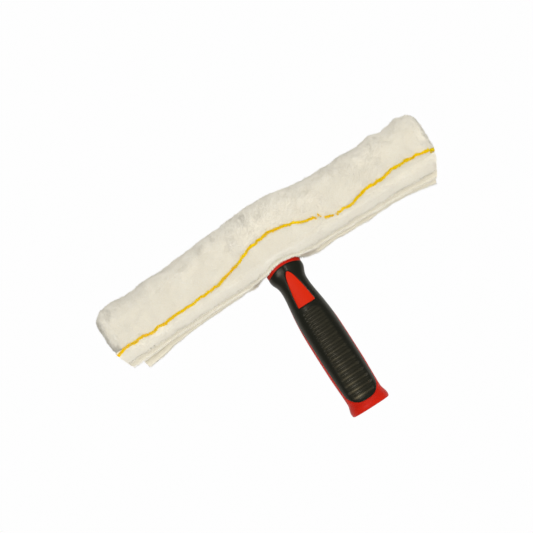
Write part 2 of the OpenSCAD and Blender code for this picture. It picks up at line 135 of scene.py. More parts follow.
def make_object(name, verts, faces, material=None, smooth_faces=True, uv=None, attrs=None):
    """A mesh object from points in millimetres. faces is an array of quads or triangles."""
    me = bpy.data.meshes.new(name)
    verts = np.asarray(verts, float).reshape(-1, 3) * MM
    faces = np.asarray(faces, np.int32)
    k = faces.shape[1]
    me.vertices.add(len(verts))
    me.vertices.foreach_set("co", verts.astype(np.float32).ravel())
    me.loops.add(faces.size)
    me.loops.foreach_set("vertex_index", faces.ravel())
    me.polygons.add(len(faces))
    me.polygons.foreach_set("loop_start", np.arange(0, faces.size, k, dtype=np.int32))
    me.update(calc_edges=True)
    me.polygons.foreach_set("use_smooth", np.full(len(faces), smooth_faces))
    if uv is not None:
        layer = me.uv_layers.new(name="OFBake")
        layer.data.foreach_set("uv", np.asarray(uv, np.float32)[faces.ravel()].ravel())
    for key, values in (attrs or {}).items():
        a = me.attributes.new(key, "FLOAT", "POINT")
        a.data.foreach_set("value", np.asarray(values, np.float32))
    me.validate()
    ob = bpy.data.objects.new(name, me)
    bpy.context.scene.collection.objects.link(ob)
    if material:
        me.materials.append(material)
    return ob


def grid_faces(rows, cols, closed=False, flip=False):
    """Quads over a grid of points. A closed grid's last column joins its first."""
    r = np.arange(rows - 1)[:, None]
    c = np.arange(cols if closed else cols - 1)[None, :]
    n = (c + 1) % cols
    q = np.stack([r * cols + c, r * cols + n, (r + 1) * cols + n, (r + 1) * cols + c], -1).reshape(-1, 4)
    return q[:, ::-1] if flip else q


def slab_faces(rows, cols, flip=False):
    """Faces of a closed slab between two grids of points, the second listed after the first."""
    n = rows * cols
    ids = np.arange(n).reshape(rows, cols)
    rim = np.concatenate([ids[0], ids[1:, -1], ids[-1, -2::-1], ids[-2:0:-1, 0]])
    after = np.roll(rim, -1)
    walls = np.stack([after, rim, rim + n, after + n], 1)
    return np.concatenate([grid_faces(rows, cols, False, flip),
                           grid_faces(rows, cols, False, not flip) + n, walls])


def grid_uv(rows, cols, low, high_u, high_v):
    uu, vv = np.meshgrid(np.linspace(low, high_u, rows), np.linspace(low, high_v, cols), indexing="ij")
    return np.stack([uu.ravel(), vv.ravel()], 1)


# Materials


def add(tree, kind, at=(0, 0), **settings):
    """A node with its settings. A name that starts with in_ sets a socket."""
    node = tree.nodes.new(kind)
    node.location = at
    for key, value in settings.items():
        if key.startswith("in_"):
            node.inputs[key[3:].replace("_", " ")].default_value = value
        else:
            setattr(node, key, value)
    return node


def new_material(name, **sockets):
    mat = bpy.data.materials.new(name)
    mat.use_nodes = True
    shader = mat.node_tree.nodes["Principled BSDF"]
    for key, value in sockets.items():
        shader.inputs[key.replace("_", " ")].default_value = value
    return mat, mat.node_tree, shader


def scaled_coordinates(tree):
    """Object coordinates in millimetres."""
    where = add(tree, "ShaderNodeTexCoord", (-1200, 0))
    size = add(tree, "ShaderNodeVectorMath", (-1000, 0), operation="SCALE")
    size.inputs["Scale"].default_value = 1000.0
    tree.links.new(where.outputs["Object"], size.inputs[0])
    return size.outputs[0]


def noise_at(tree, where, scale, detail=2.0, rough=0.5, at=(-800, 0)):
    n = add(tree, "ShaderNodeTexNoise", at, in_Scale=scale, in_Detail=detail, in_Roughness=rough)
    tree.links.new(where, n.inputs["Vector"])
    return n.outputs["Fac"]


def ramp(tree, fac, stops, at=(-500, 0)):
    r = add(tree, "ShaderNodeValToRGB", at)
    while len(r.color_ramp.elements) < len(stops):
        r.color_ramp.elements.new(0.5)
    for e, (pos, colour) in zip(r.color_ramp.elements, stops, strict=True):
        e.position = pos
        e.color = colour if hasattr(colour, "__len__") else (colour, colour, colour, 1)
    tree.links.new(fac, r.inputs["Fac"])
    return r.outputs["Color"]


def blend_colours(tree, fac, a, b, at=(-300, 0), how="MIX"):
    m = add(tree, "ShaderNodeMix", at, data_type="RGBA", blend_type=how)
    for socket, value in ((m.inputs[0], fac), (m.inputs[6], a), (m.inputs[7], b)):
        if hasattr(value, "is_output"):
            tree.links.new(value, socket)
        else:
            socket.default_value = value
    return m.outputs[2]


def bump(tree, shader, height, distance, strength=1.0, at=(-250, -400)):
    b = add(tree, "ShaderNodeBump", at, in_Strength=strength, in_Distance=distance * MM)
    tree.links.new(height, b.inputs["Height"])
    tree.links.new(b.outputs["Normal"], shader.inputs["Normal"])


# A wave texture of scale 1 repeats after this many units.
WAVE_PERIOD = 0.314


def plush_material(name, dark, light, root):
    """Acrylic pile: matt, with a faint sheen, and painted shade that darkens it towards its roots, where
    the tufts shade each other.
    """
    mat, t, s = new_material(name, Roughness=0.95, Specular_IOR_Level=0.1,
                             Sheen_Weight=0.12, Sheen_Tint=(1, 0.93, 0.76, 1), Sheen_Roughness=0.5,
                             Subsurface_Weight=0.1, Subsurface_Scale=0.002,
                             Subsurface_Radius=(1.0, 0.95, 0.85))
    w = scaled_coordinates(t)
    broad = noise_at(t, w, 0.06, 3.0, 0.55, (-800, 200))
    fine = noise_at(t, w, 0.55, 2.0, 0.5, (-800, -100))
    base = blend_colours(t, ramp(t, broad, [(0.30, 0.0), (0.72, 1.0)], (-560, 200)),
                         linear(dark), linear(light), (-260, 200))
    speck = ramp(t, fine, [(0.3, (0.975, 0.97, 0.96, 1)), (0.62, (1, 1, 1, 1))], (-560, -100))
    tinted = blend_colours(t, 1.0, base, speck, (-80, 100), "MULTIPLY")
    tip = add(t, "ShaderNodeAttribute", (-560, -360), attribute_name="tip")
    # Painted shade: each tuft darkens towards the root colour, where the tufts shade each other.
    root_shade = ramp(t, tip.outputs["Fac"], [(0.0, linear(root)), (0.75, (1, 1, 1, 1))], (-360, -360))
    out = blend_colours(t, 1.0, tinted, root_shade, (80, 0), "MULTIPLY")
    t.links.new(out, s.inputs["Base Color"])
    return mat


def cloth_material(name, dark, light, pitch=0.55):
    """A plain weave, with threads pitch millimetres apart."""
    mat, t, s = new_material(name, Roughness=0.9, Sheen_Weight=0.15, Specular_IOR_Level=0.2)
    w = scaled_coordinates(t)
    waves = []
    for i, axis in enumerate("XY"):
        wave = add(t, "ShaderNodeTexWave", (-800, 200 - 260 * i), bands_direction=axis,
                   in_Scale=WAVE_PERIOD / pitch, in_Distortion=0.4, in_Detail=1.0)
        t.links.new(w, wave.inputs["Vector"])
        waves.append(wave.outputs["Fac"])
    both = add(t, "ShaderNodeMath", (-560, 100), operation="MULTIPLY")
    t.links.new(waves[0], both.inputs[0])
    t.links.new(waves[1], both.inputs[1])
    soft = noise_at(t, w, 0.3, 3.0, 0.6, (-800, -340))
    colour = blend_colours(t, soft, linear(dark), linear(light), (-260, 200))
    shade = ramp(t, both.outputs[0], [(0.0, (0.86, 0.85, 0.83, 1)), (0.5, (1, 1, 1, 1))], (-360, -60))
    t.links.new(blend_colours(t, 1.0, colour, shade, (-60, 100), "MULTIPLY"), s.inputs["Base Color"])
    bump(t, s, both.outputs[0], 0.12, 0.8)
    return mat


def rubber_material(dark, light, rib_highlight):
    """Soft-touch rubber: near black and matt, with a painted highlight on its rib crests and a slightly
    paler ribbed field.
    """
    mat, t, s = new_material("soft_touch_black_rubber", Specular_IOR_Level=0.36,
                             Specular_Tint=(1.0, 0.92, 0.76, 1.0))
    w = scaled_coordinates(t)
    broad = noise_at(t, w, 0.05, 3.0, 0.6, (-800, 260))
    grain = noise_at(t, w, 3.2, 2.0, 0.6, (-800, -60))
    plain = blend_colours(t, broad, linear(dark), linear(light), (-260, 260))
    field_tone_and_highlight = add(t, "ShaderNodeAttribute", (-560, 500), attribute_name="field_tone_and_highlight")
    # Blends in the painted highlight on the rib crests and the paler tone of the ribbed field.
    t.links.new(blend_colours(t, field_tone_and_highlight.outputs["Fac"], plain, linear(rib_highlight), (-60, 300)),
                s.inputs["Base Color"])
    t.links.new(ramp(t, grain, [(0.3, 0.29), (0.7, 0.38)], (-560, -60)), s.inputs["Roughness"])
    bump(t, s, grain, 0.03, 0.4)
    return mat


def plastic_material(name, dark, light, rough, grain_depth=0.02, spec=0.5):
    """Moulded plastic: one even colour, satin, with a faint grain."""
    mat, t, s = new_material(name, Specular_IOR_Level=spec)
    w = scaled_coordinates(t)
    broad = noise_at(t, w, 0.07, 3.0, 0.55, (-800, 260))
    grain = noise_at(t, w, 2.4, 3.0, 0.6, (-800, -60))
    t.links.new(blend_colours(t, broad, linear(dark), linear(light), (-260, 260)),
                s.inputs["Base Color"])
    t.links.new(ramp(t, grain, [(0.25, rough - 0.05), (0.75, rough + 0.07)], (-560, -60)),
                s.inputs["Roughness"])
    bump(t, s, grain, grain_depth, 0.6)
    return mat


def steel_material():
    """Zinc-plated steel: a grey metal whose roughness varies a little."""
    mat, t, s = new_material("zinc_plated_steel", Metallic=1.0)
    w = scaled_coordinates(t)
    fine = noise_at(t, w, 1.6, 4.0, 0.6, (-800, 0))
    t.links.new(blend_colours(t, fine, linear("9C9DA0"), linear("C9CACC"), (-260, 200)),
                s.inputs["Base Color"])
    t.links.new(ramp(t, fine, [(0.3, 0.26), (0.7, 0.42)], (-560, -60)), s.inputs["Roughness"])
    return mat


def tape_material(name, dark, light, cell):
    """Hook or loop tape: a field of small nubs, cell millimetres apart."""
    mat, t, s = new_material(name, Roughness=0.85, Sheen_Weight=0.2, Specular_IOR_Level=0.25)
    w = scaled_coordinates(t)
    cells = add(t, "ShaderNodeTexVoronoi", (-800, 0), in_Scale=1.0 / cell, in_Randomness=0.35)
    t.links.new(w, cells.inputs["Vector"])
    shade = ramp(t, cells.outputs["Distance"], [(0.1, linear(light)), (0.7, linear(dark))], (-460, 100))
    t.links.new(shade, s.inputs["Base Color"])
    flat = ramp(t, cells.outputs["Distance"], [(0.0, 1.0), (0.7, 0.0)], (-460, -200))
    bump(t, s, flat, 0.35, 1.0)
    return mat


def paint(node, mat):
    """Gives a CAD node its material."""
    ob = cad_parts[node]
    ob.data.materials.clear()
    ob.data.materials.append(mat)
    for p in ob.data.polygons:
        p.material_index = 0
    return ob


MATERIALS = {}


def material(key):
    """The material of that key, which is made when it is first asked for."""
    if key in MATERIALS:
        return MATERIALS[key]
    c = bpy.context.scene.scrub_colours
    make, *values = {
        # The last colour of the plush and yellow entries is the painted shade at the tufts' roots.
        "plush": (plush_material, "cream_plush_pile", "F4F1E9", c.plush, "FDFBF6"),
        "yellow": (plush_material, "yellow_yarn_pile", "FFD600", c.stripe, "FFE25C"),
        "hem": (cloth_material, "cream_hem_cloth", "E4DFCF", "EFEADC"),
        "thread": (cloth_material, "cream_thread", "E4DFD0", "F0EDE2", 0.3),
        # The rubber's last colour is the painted highlight on the rib crests, which also gives the ribbed
        # field its paler tone.
        "rubber": (rubber_material, c.rubber, "141713", "6A6350"),
        "red": (plastic_material, "red_moulded_plastic", "B21807", c.plastic, 0.4, 0.01, 0.14),
        "badge": (plastic_material, "red_badge_plastic", "C0230A", c.badge, 0.46, 0.01, 0.1),
        "grey": (plastic_material, "grey_glass_filled_plastic", "A9ABAE", "BFC1C3", 0.5, 0.04),
        "cap": (plastic_material, "black_moulded_plastic", "1D1D1D", "2A2A2A", 0.45),
        "steel": (steel_material,),
        "hook": (tape_material, "hook_tape", "BDB9AE", "E9E6DD", 0.9),
        "loop": (tape_material, "loop_tape", "D2CEC2", "F1EEE6", 0.6),
    }[key]
    MATERIALS[key] = make(*values)
    return MATERIALS[key]


# Handle

# Distance from the butt, half width, half depth, power of the curve to the next one, squareness.
STATIONS = [
    (0.0, BUTT_W / 2 - 0.3, BUTT_D / 2 - 0.3, 1.0, 2.3),
    (3.5, BUTT_W / 2, BUTT_D / 2, 1.0, 2.3),
    (13.0, PALM_W / 2 - 0.9, PALM_D / 2 - 0.9, 1.0, 2.3),
    (46.0, PALM_W / 2, PALM_D / 2, 2.4, 2.3),
    (132.0, NECK_W / 2, NECK_D / 2, 1.4, 2.3),
    (HANDLE - 6.6, COLLAR_W / 2, COLLAR_D / 2, 1.0, 3.0),
    (HANDLE + 30.0, COLLAR_W / 2, COLLAR_D / 2, 1.0, 3.0),
]


def handle_half(y, k):
    """Half width (1), half depth (2) or squareness (4) of the handle at the distances y."""
    y = np.asarray(y, float)
    out = np.zeros_like(y)
    for i in range(len(STATIONS) - 1):
        a, b = STATIONS[i], STATIONS[i + 1]
        here = (y >= a[0]) & ((y < b[0]) | (i == len(STATIONS) - 2))
        t = np.clip((y - a[0]) / (b[0] - a[0]), 0, 1)
        out = np.where(here, mix(a[k], b[k], smooth(t ** a[3])), out)
    if k != 4:
        e = np.clip(BUTT_EDGE - y, 0, BUTT_EDGE)
        out = out - (BUTT_EDGE - np.sqrt(BUTT_EDGE**2 - e**2))
    return out


def oval(a, b, angle, s):
    """Points of a rounded shape with the half axes a and b. The larger s, the squarer it is."""
    c, n = np.cos(angle), np.sin(angle)
    return a * np.sign(c) * np.abs(c) ** (2 / s), b * np.sign(n) * np.abs(n) ** (2 / s)


def arch(x, radius):
    """Where the handle's arched end lies at x."""
    return HANDLE - ARCH_R + np.sqrt(np.maximum(radius**2 - np.minimum(np.abs(x), 30) ** 2, 1))


def row_y(y, x):
    """A row's place along Y at x: rows near the neck's end bow as the arch does."""
    k = smooth((y - 126.0) / (HANDLE - 9.0 - 126.0))
    w = np.minimum(np.abs(x), COLLAR_W / 2)
    return y - k * (ARCH_R - np.sqrt(ARCH_R**2 - w**2))


def panel_half(y):
    """Half width of the rubber panel at y."""
    t = np.clip((y - PANEL_START) / 17.0, 0, 1)
    return mix(2.6, PANEL_W / 2, (1 - (1 - t) ** 2.2) ** (1 / 2.2)) + 0.5 * smooth((y - 28) / 30)


def band_half(y):
    """Half depth of the red band on the handle's side at y."""
    a, b, s = handle_half(y, 1), handle_half(y, 2), handle_half(y, 4)
    x = np.minimum(panel_half(y) / a, 1.0)
    table = np.interp(y, [PANEL_START - 3, 30, 66, 92, BAND_END - 9, BAND_END - 2, BAND_END],
                      [7.6, 5.6, 3.4, 2.4, 1.6, 0.9, 0.2])
    return np.minimum(b * 0.99, np.maximum(table, b * (1 - x**s) ** (1 / s)))


def badge_half(y):
    u = np.clip((BADGE_START + BADGE_LEN - y) / BADGE_LEN, 0, 1)
    return BADGE_W / 2 * u**0.46


FIELD_START = PANEL_START + 4.2
RIB_ROWS = int((BADGE_START - 3.4 - FIELD_START) / RIB_PITCH)
FIELD_END = FIELD_START + RIB_ROWS * RIB_PITCH


def surface(ys, angles):
    """The handle's outer surface as arrays of x, y and z, with its half width, half depth and
    squareness."""
    y = np.asarray(ys, float)[:, None]
    t = np.asarray(angles, float)[None, :]
    a, b, s = (handle_half(y, k) for k in (1, 2, 4))
    x, z = oval(a, b, t, s)
    return x, row_y(y + 0 * t, x), z, a, b, s


def edge_distance(ys, angles):
    """How far each point lies inside the rubber panels, in millimetres; negative outside."""
    y = np.asarray(ys, float)
    fine = np.radians(np.linspace(0, 90, 181))
    a, b, s = (handle_half(y, k)[:, None] for k in (1, 2, 4))
    fx, fz = oval(a, b, fine[None, :], s)
    arcs = np.concatenate([np.zeros((len(y), 1)),
                           np.cumsum(np.hypot(np.diff(fx), np.diff(fz)), 1)], 1)
    folded = np.abs((np.asarray(angles) + np.pi / 2) % np.pi - np.pi / 2)
    band = np.arcsin(np.clip(band_half(y) / b[:, 0], 0, 1) ** (s[:, 0] / 2))
    arc = np.array([np.interp(folded, fine, r) for r in arcs])
    at = np.array([np.interp(v, fine, r) for v, r in zip(band, arcs)])
    slope = np.gradient(at, y)
    d = (arc - at[:, None]) / np.sqrt(1 + slope**2)[:, None]
    past = (y - BAND_END)[:, None]
    d = np.where(past > 0, np.hypot(arc, past), d)
    d = np.minimum(d, (y - PANEL_START)[:, None])
    x = surface(y, angles)[0]
    top = arch(x, ARCH_R - RIM_H) - row_y(y[:, None] + 0 * x, x)
    return np.minimum(d, top)


def ribs(ys, x):
    """Height of the ribbed field at rows ys and positions x, and how much painted highlight and paler tone
    it gets.
    """
    y = np.asarray(ys, float)[:, None] + 0 * x
    i = np.floor((y - FIELD_START) / RIB_PITCH)
    t = (y - FIELD_START) / RIB_PITCH - i
    bold = (i % 2 == 0)
    share = np.clip(i / RIB_ROWS, 0, 1)
    crest = RIB_H * np.where(bold, mix(0.8, 0.3, share), mix(-0.25, 0.16, share))
    low = -RIB_H * 0.5
    width = np.where(bold, 0.52, 0.40)
    profile = np.cos(np.clip(np.abs(t - 0.5) / width, 0, 1) * np.pi / 2) ** 1.25
    h = low + (crest - low) * profile
    half = np.minimum(panel_half(y) - 2.4, FIELD_W / 2 - 3.4 * smooth((y - FIELD_START) / 96))
    round_top = np.clip((FIELD_END - y) / 5.0, 0, 1)
    half = half * np.sqrt(1 - (1 - round_top) ** 2)
    inside = smooth((half - np.abs(x)) / 3.4) * smooth((y - FIELD_START + 0.2) / 0.9)
    inside = inside * smooth((FIELD_END + 0.2 - y) / 0.9)
    # Painted highlight: the lower bold ribs get a pale highlight on their crests, left of centre where the
    # key light's highlight falls; the upper ones get hardly any.
    rib_highlight = np.where(bold, mix(1.0, 0.12, share**0.35), mix(0.1, 0.12, share))
    # The painted highlight is brightest about 5 mm left of the middle, where the key light's highlight
    # falls.
    across = mix(0.15 + 0.85 * np.exp(-(((x + 5) / 4.8) ** 2)), 0.5, share)
    return h * inside, inside * (0.04 + 0.8 * profile**0.8 * rib_highlight * across)


def badge_gap(ys, x):
    """Distance from the badge's outline, positive outside."""
    y = np.asarray(ys, float)
    h = badge_half(y)
    slope = np.gradient(h, y)
    side = (np.abs(x) - h[:, None]) / np.sqrt(1 + np.minimum(slope**2, 400))[:, None]
    foot = (BADGE_START - y)[:, None] + 0 * x
    corner = 1.3
    dx, dy = side + corner, foot + corner
    d = np.where((dx > 0) & (dy > 0), np.hypot(np.maximum(dx, 0), np.maximum(dy, 0)) - corner,
                 np.maximum(side, foot))
    tip = np.hypot(x, (y - (BADGE_START + BADGE_LEN - 1.9))[:, None]) - 1.9
    return np.minimum(d, tip)


def point_grid(ys, angles, inset):
    """Points of the handle's surface, moved in by the inset."""
    _, y, _, a, b, s = surface(ys, angles)
    t = np.asarray(angles)[None, :]
    x, z = oval(1.0, 1.0, t, s)
    return np.stack([x * (a - inset), y, z * (b - inset)], -1)


def ring_angles(n):
    """Angles with even spacing along the ring's arc, so that its corners stay round."""
    fine = np.linspace(0, np.pi / 2, 721)
    x, z = oval(18.0, 15.5, fine, 2.3)
    arc = np.concatenate([[0], np.cumsum(np.hypot(np.diff(x), np.diff(z)))])
    q = np.interp(np.linspace(0, arc[-1], n // 4 + 1), arc, fine)
    q = q[:-1]
    return np.concatenate([q, np.pi - np.append(q, np.pi / 2)[:0:-1], np.pi + q,
                           2 * np.pi - np.append(q, np.pi / 2)[:0:-1]])


def prism(name, profile, low, high, axis):
    """A closed prism between low and high along axis from a profile of 2-D points."""
    n = len(profile)
    pts = []
    for v in (low, high):
        for p, q in profile:
            pts.append({"X": (v, p, q), "Z": (p, q, v), "Y": (p, v, q)}[axis])
    bm = bmesh.new()
    vs = [bm.verts.new(Vector(p) * MM) for p in pts]
    for i in range(n):
        j = (i + 1) % n
        bm.faces.new((vs[i], vs[j], vs[n + j], vs[n + i]))
    bm.faces.new(vs[:n][::-1])
    bm.faces.new(vs[n:])
    bmesh.ops.recalc_face_normals(bm, faces=bm.faces)
    me = bpy.data.meshes.new(name)
    bm.to_mesh(me)
    bm.free()
    ob = bpy.data.objects.new(name, me)
    bpy.context.scene.collection.objects.link(ob)
    return ob


def cut(target, cutter):
    """Takes the cutter's shape out of the target and removes the cutter."""
    m = target.modifiers.new("cut", "BOOLEAN")
    m.operation, m.object, m.solver = "DIFFERENCE", cutter, "EXACT"
    bpy.context.view_layer.objects.active = target
    bpy.ops.object.modifier_apply(modifier=m.name)
    bpy.data.objects.remove(cutter, do_unlink=True)


def close_caps(ob):
    """Fills a mesh's open ends and turns its faces outwards."""
    bm = bmesh.new()
    bm.from_mesh(ob.data)
    edges = [e for e in bm.edges if e.is_boundary]
    bmesh.ops.holes_fill(bm, edges=edges, sides=0)
    bmesh.ops.recalc_face_normals(bm, faces=bm.faces)
    bm.to_mesh(ob.data)
    bm.free()


def build_core(columns):
    """The red core: butt flare, side bands, collar rim, fork and pole socket."""
    ang = ring_angles(columns)
    ys = np.concatenate([np.linspace(0, 0.7, 5)[1:], np.linspace(0.9, 1.4, 3), np.linspace(1.8, 8, 14),
                         np.linspace(8.3, 30, 62), np.linspace(30.5, 114, 110),
                         np.linspace(114.4, 122, 20), np.linspace(123, 148, 22),
                         np.linspace(148.5, HANDLE - 0.5, 26)])
    d = edge_distance(ys, ang)
    inset = np.where(d < 0, 0.26 * np.exp(d / 0.3), 0.26 + np.minimum(1.5, d * 3.0))
    outer = point_grid(ys, ang, inset)
    rings = []
    c, n = np.cos(ang), np.sin(ang)
    for depth, r in ((SOCKET_DEPTH, 0.5), (SOCKET_DEPTH, SOCKET_R), (60, SOCKET_R), (30, SOCKET_R),
                     (SOCKET_LEAD, SOCKET_R), (0.25, SOCKET_R + SOCKET_LEAD - 0.25),
                     (0.0, SOCKET_R + SOCKET_LEAD + 0.1)):
        rings.append(np.stack([r * c, np.full_like(c, depth), r * n], -1))
    first = point_grid([0.0], ang, 0.0)[0]
    rings.append(mix(rings[-1], first, 0.5))
    rings.append(first)
    rim = [point_grid([HANDLE - 0.12], ang, 0.12)[0], point_grid([HANDLE], ang, 0.5)[0]]

    def fork(y, w, arched):
        x, z = oval(COLLAR_W / 2 - 1, CORE_HALF, ang, 3.2)
        xx = np.clip(x, -w, w) + 0.3 * c
        yy = row_y(np.full_like(x, y), x) if arched else np.full_like(x, y)
        return np.stack([xx, yy, z], -1)

    w = FORK_W / 2
    tail = [fork(HANDLE + 0.06, w, True), fork(BAR_EDGE + 1, w, False), fork(FORK_TOP - 5, w, False),
            fork(FORK_TOP - 1.5, w - 1.3, False), fork(FORK_TOP, w - 4.5, False)]
    rings += list(outer) + rim + tail
    ob = make_object("moulded_core", np.array(rings), grid_faces(len(rings), len(ang), True, True),
                     material("red"))
    close_caps(ob)
    r = BAR_T / 2 + 0.15
    steps = np.radians(np.arange(-90, 91, 7.5))
    track = [(BAR_Y + ROUND_Y + r * math.cos(v), r * math.sin(v)) for v in steps]
    track += [(BAR_Y - ROUND_Y - r * math.cos(v), -r * math.sin(v)) for v in steps]
    cut(ob, prism("cut_bar", track, -25, 25, "X"))
    for side in (-1, 1):
        round_head = [(side * SCREW_X + HEAD_R * math.cos(v), SCREW_Y + HEAD_R * math.sin(v))
                      for v in np.radians(np.arange(0, 360, 10))]
        cut(ob, prism("cut_head", round_head, -CORE_HALF - 2, -CORE_HALF + HEAD_DEPTH, "Z"))
    ob.data.shade_smooth()
    ob.data.set_sharp_from_angle(angle=math.radians(38))
    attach(ob, "frame")
    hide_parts("handle_core")
    return ob


def build_grip(columns, rows_per_rib):
    """The rubber cover with its ribbed field and the pocket of the badge."""
    ang = ring_angles(columns)
    step = RIB_PITCH / rows_per_rib
    ys = np.concatenate([np.linspace(PANEL_START - 0.8, FIELD_START - 0.4, 12),
                         np.arange(FIELD_START, FIELD_END + 0.01, step),
                         np.linspace(FIELD_END + 0.4, 151, 96),
                         np.linspace(151.3, HANDLE - RIM_H + 0.9, 14)])
    d = edge_distance(ys, ang)
    x, _, z = surface(ys, ang)[:3]
    inset = np.where(d > 0, 0.30 * np.exp(-d / 0.35), 0.30 + np.minimum(1.6, -d * 3.0))
    # The ribs' painted highlight and the field's paler tone go to the rubber as a point attribute.
    height, field_tone_and_highlight = ribs(ys, x)
    inset = inset - height * (d > 0)
    g = badge_gap(ys, x)
    front = z > 0
    inset = inset + np.where(front & (g > 0), 0.34 * np.exp(-np.maximum(g, 0) / 0.3), 0)
    inset = inset + np.where(front & (g <= 0), 0.34 + np.minimum(1.2, -g * 4.0), 0)
    pts = point_grid(ys, ang, inset)
    under = point_grid([PANEL_START - 0.8, HANDLE - RIM_H + 0.9], ang, 2.1)
    pts = np.concatenate([under[:1], pts, under[1:]])
    ob = make_object("rubber_grip", pts, grid_faces(len(pts), len(ang), True, True), material("rubber"),
                     attrs={"field_tone_and_highlight": np.pad(field_tone_and_highlight, ((1, 1), (0, 0))).ravel()})
    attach(ob, "frame")
    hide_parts("grip_cover")
    return ob


def build_badge():
    """The red wedge, a thin shell that follows the handle's swell."""
    u = np.linspace(-1, 1, 61)
    ys = np.concatenate([np.linspace(BADGE_START + 0.12, BADGE_START + 1.6, 8),
                         np.linspace(BADGE_START + 2, BADGE_START + BADGE_LEN - 3, 60),
                         np.linspace(BADGE_START + BADGE_LEN - 2.8, BADGE_START + BADGE_LEN - 0.15, 16)])
    half = np.array([badge_outline(y) for y in ys])
    x = half[:, None] * u[None, :]
    a, b, s = (handle_half(ys, k)[:, None] for k in (1, 2, 4))
    edge = np.minimum(half[:, None] * (1 - np.abs(u))[None, :], (ys - ys[0])[:, None])
    edge = np.minimum(edge, (ys[-1] - ys)[:, None] * 1.2)
    drop = 0.26 + 0.34 * np.exp(-(edge / 0.45) ** 1.3)
    z = (b - drop) * (1 - np.clip(np.abs(x) / (a - drop), 0, 1) ** s) ** (1 / s)
    y = row_y(ys[:, None] + 0 * x, x)
    top = np.stack([x, y, z], -1)
    low = top.copy()
    low[..., 2] -= 1.6
    ob = make_object("badge_blank", np.concatenate([top.reshape(-1, 3), low.reshape(-1, 3)]),
                     slab_faces(len(ys), len(u)), material("badge"))
    ob.data.set_sharp_from_angle(angle=math.radians(50))
    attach(ob, "frame")
    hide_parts("badge_inlay")
    return ob


def badge_outline(y):
    """Half width of the badge at y, with its round tip and corners."""
    h = float(badge_half(np.array([y]))[0]) - 0.12
    tip = BADGE_START + BADGE_LEN - 1.9
    if y > tip:
        h = max(0.25, min(h, math.sqrt(max(0.06, 1.78**2 - (y - tip) ** 2))))
    low = y - BADGE_START
    if low < 1.3:
        h -= 1.3 - math.sqrt(max(0, 1.3**2 - (1.3 - low) ** 2))
    return h


# Sleeve


def open_at(x):
    """How far the lips stand apart at x for the handle: 1 beside it and 0 where they meet."""
    return 1 - smooth((np.abs(x) - OPEN_HALF) / (CLOSE_HALF - OPEN_HALF))


def lift_at(x):
    """How much further the plush reaches at x, where the fork pushes it out."""
    return LIFT * np.exp(-((x / 52.0) ** 2))


def section(x, n=241):
    """The sleeve's outer outline at x, from the front fold to the back one, as points (y, z)
    at even distances."""
    m = float(open_at(np.array(x)))
    h = mix(HALF_IN, HALF_FORK, m) + FABRIC
    up = BAR_T / 2 + 0.5 + float(lift_at(x)) + FABRIC
    centre = BAR_Y + ROUND_Y
    a = np.linspace(math.pi / 2, -math.pi / 2, 181)
    p = 2 / 2.15
    cy = np.sign(np.cos(a)) * np.abs(np.cos(a)) ** p
    cz = np.sign(np.sin(a)) * np.abs(np.sin(a)) ** p
    y = centre + up * cy
    z = np.where(cz > 0, h, REST) * cz
    line = np.concatenate([[[FOLD_Y, h]], np.stack([y, z], 1), [[FOLD_Y, -REST]]])
    arc = np.concatenate([[0], np.cumsum(np.hypot(*np.diff(line, axis=0).T))])
    s = np.linspace(0, arc[-1], n)
    out = np.stack([np.interp(s, arc, line[:, 0]), np.interp(s, arc, line[:, 1])], 1)
    return out, arc[-1]


def normals_of(grid):
    du = np.gradient(grid, axis=0)
    dv = np.gradient(grid, axis=1)
    n = np.cross(du, dv)
    return n / np.maximum(np.linalg.norm(n, axis=-1, keepdims=True), 1e-9)


def sample(grid, u, v):
    """Values of the grid (rows, columns, ...) at the shares u and v."""
    r, c = grid.shape[:2]
    fu, fv = u * (r - 1), v * (c - 1)
    i, j = np.clip(fu.astype(int), 0, r - 2), np.clip(fv.astype(int), 0, c - 2)
    a, b = (fu - i)[:, None], (fv - j)[:, None]
    return (grid[i, j] * (1 - a) * (1 - b) + grid[i + 1, j] * a * (1 - b)
            + grid[i, j + 1] * (1 - a) * b + grid[i + 1, j + 1] * a * b)


def field_noise(rng, rows, cols, cell):
    """Random values on a coarse grid, drawn out to rows by cols."""
    r, c = max(2, int(rows / cell) + 2), max(2, int(cols / cell) + 2)
    coarse = rng.normal(0, 1, (r, c))
    ri, ci = np.linspace(0, r - 1.001, rows), np.linspace(0, c - 1.001, cols)
    i, j = ri.astype(int), ci.astype(int)
    a, b = smooth(ri - i)[:, None], smooth(ci - j)[None, :]
    i, j = i[:, None], j[None, :]
    return (coarse[i, j] * (1 - a) * (1 - b) + coarse[i + 1, j] * a * (1 - b)
            + coarse[i, j + 1] * (1 - a) * b + coarse[i + 1, j + 1] * a * b)


# How far up a tuft's painted shade, darkest at its root, the ground's colour lies, how deep the ground
# lies in the pile, and how many triangles one piece of pile may have.
GROUND_SHADE, GROUND_DEPTH, MAX_FACES = 0.22, 0.82, 190000


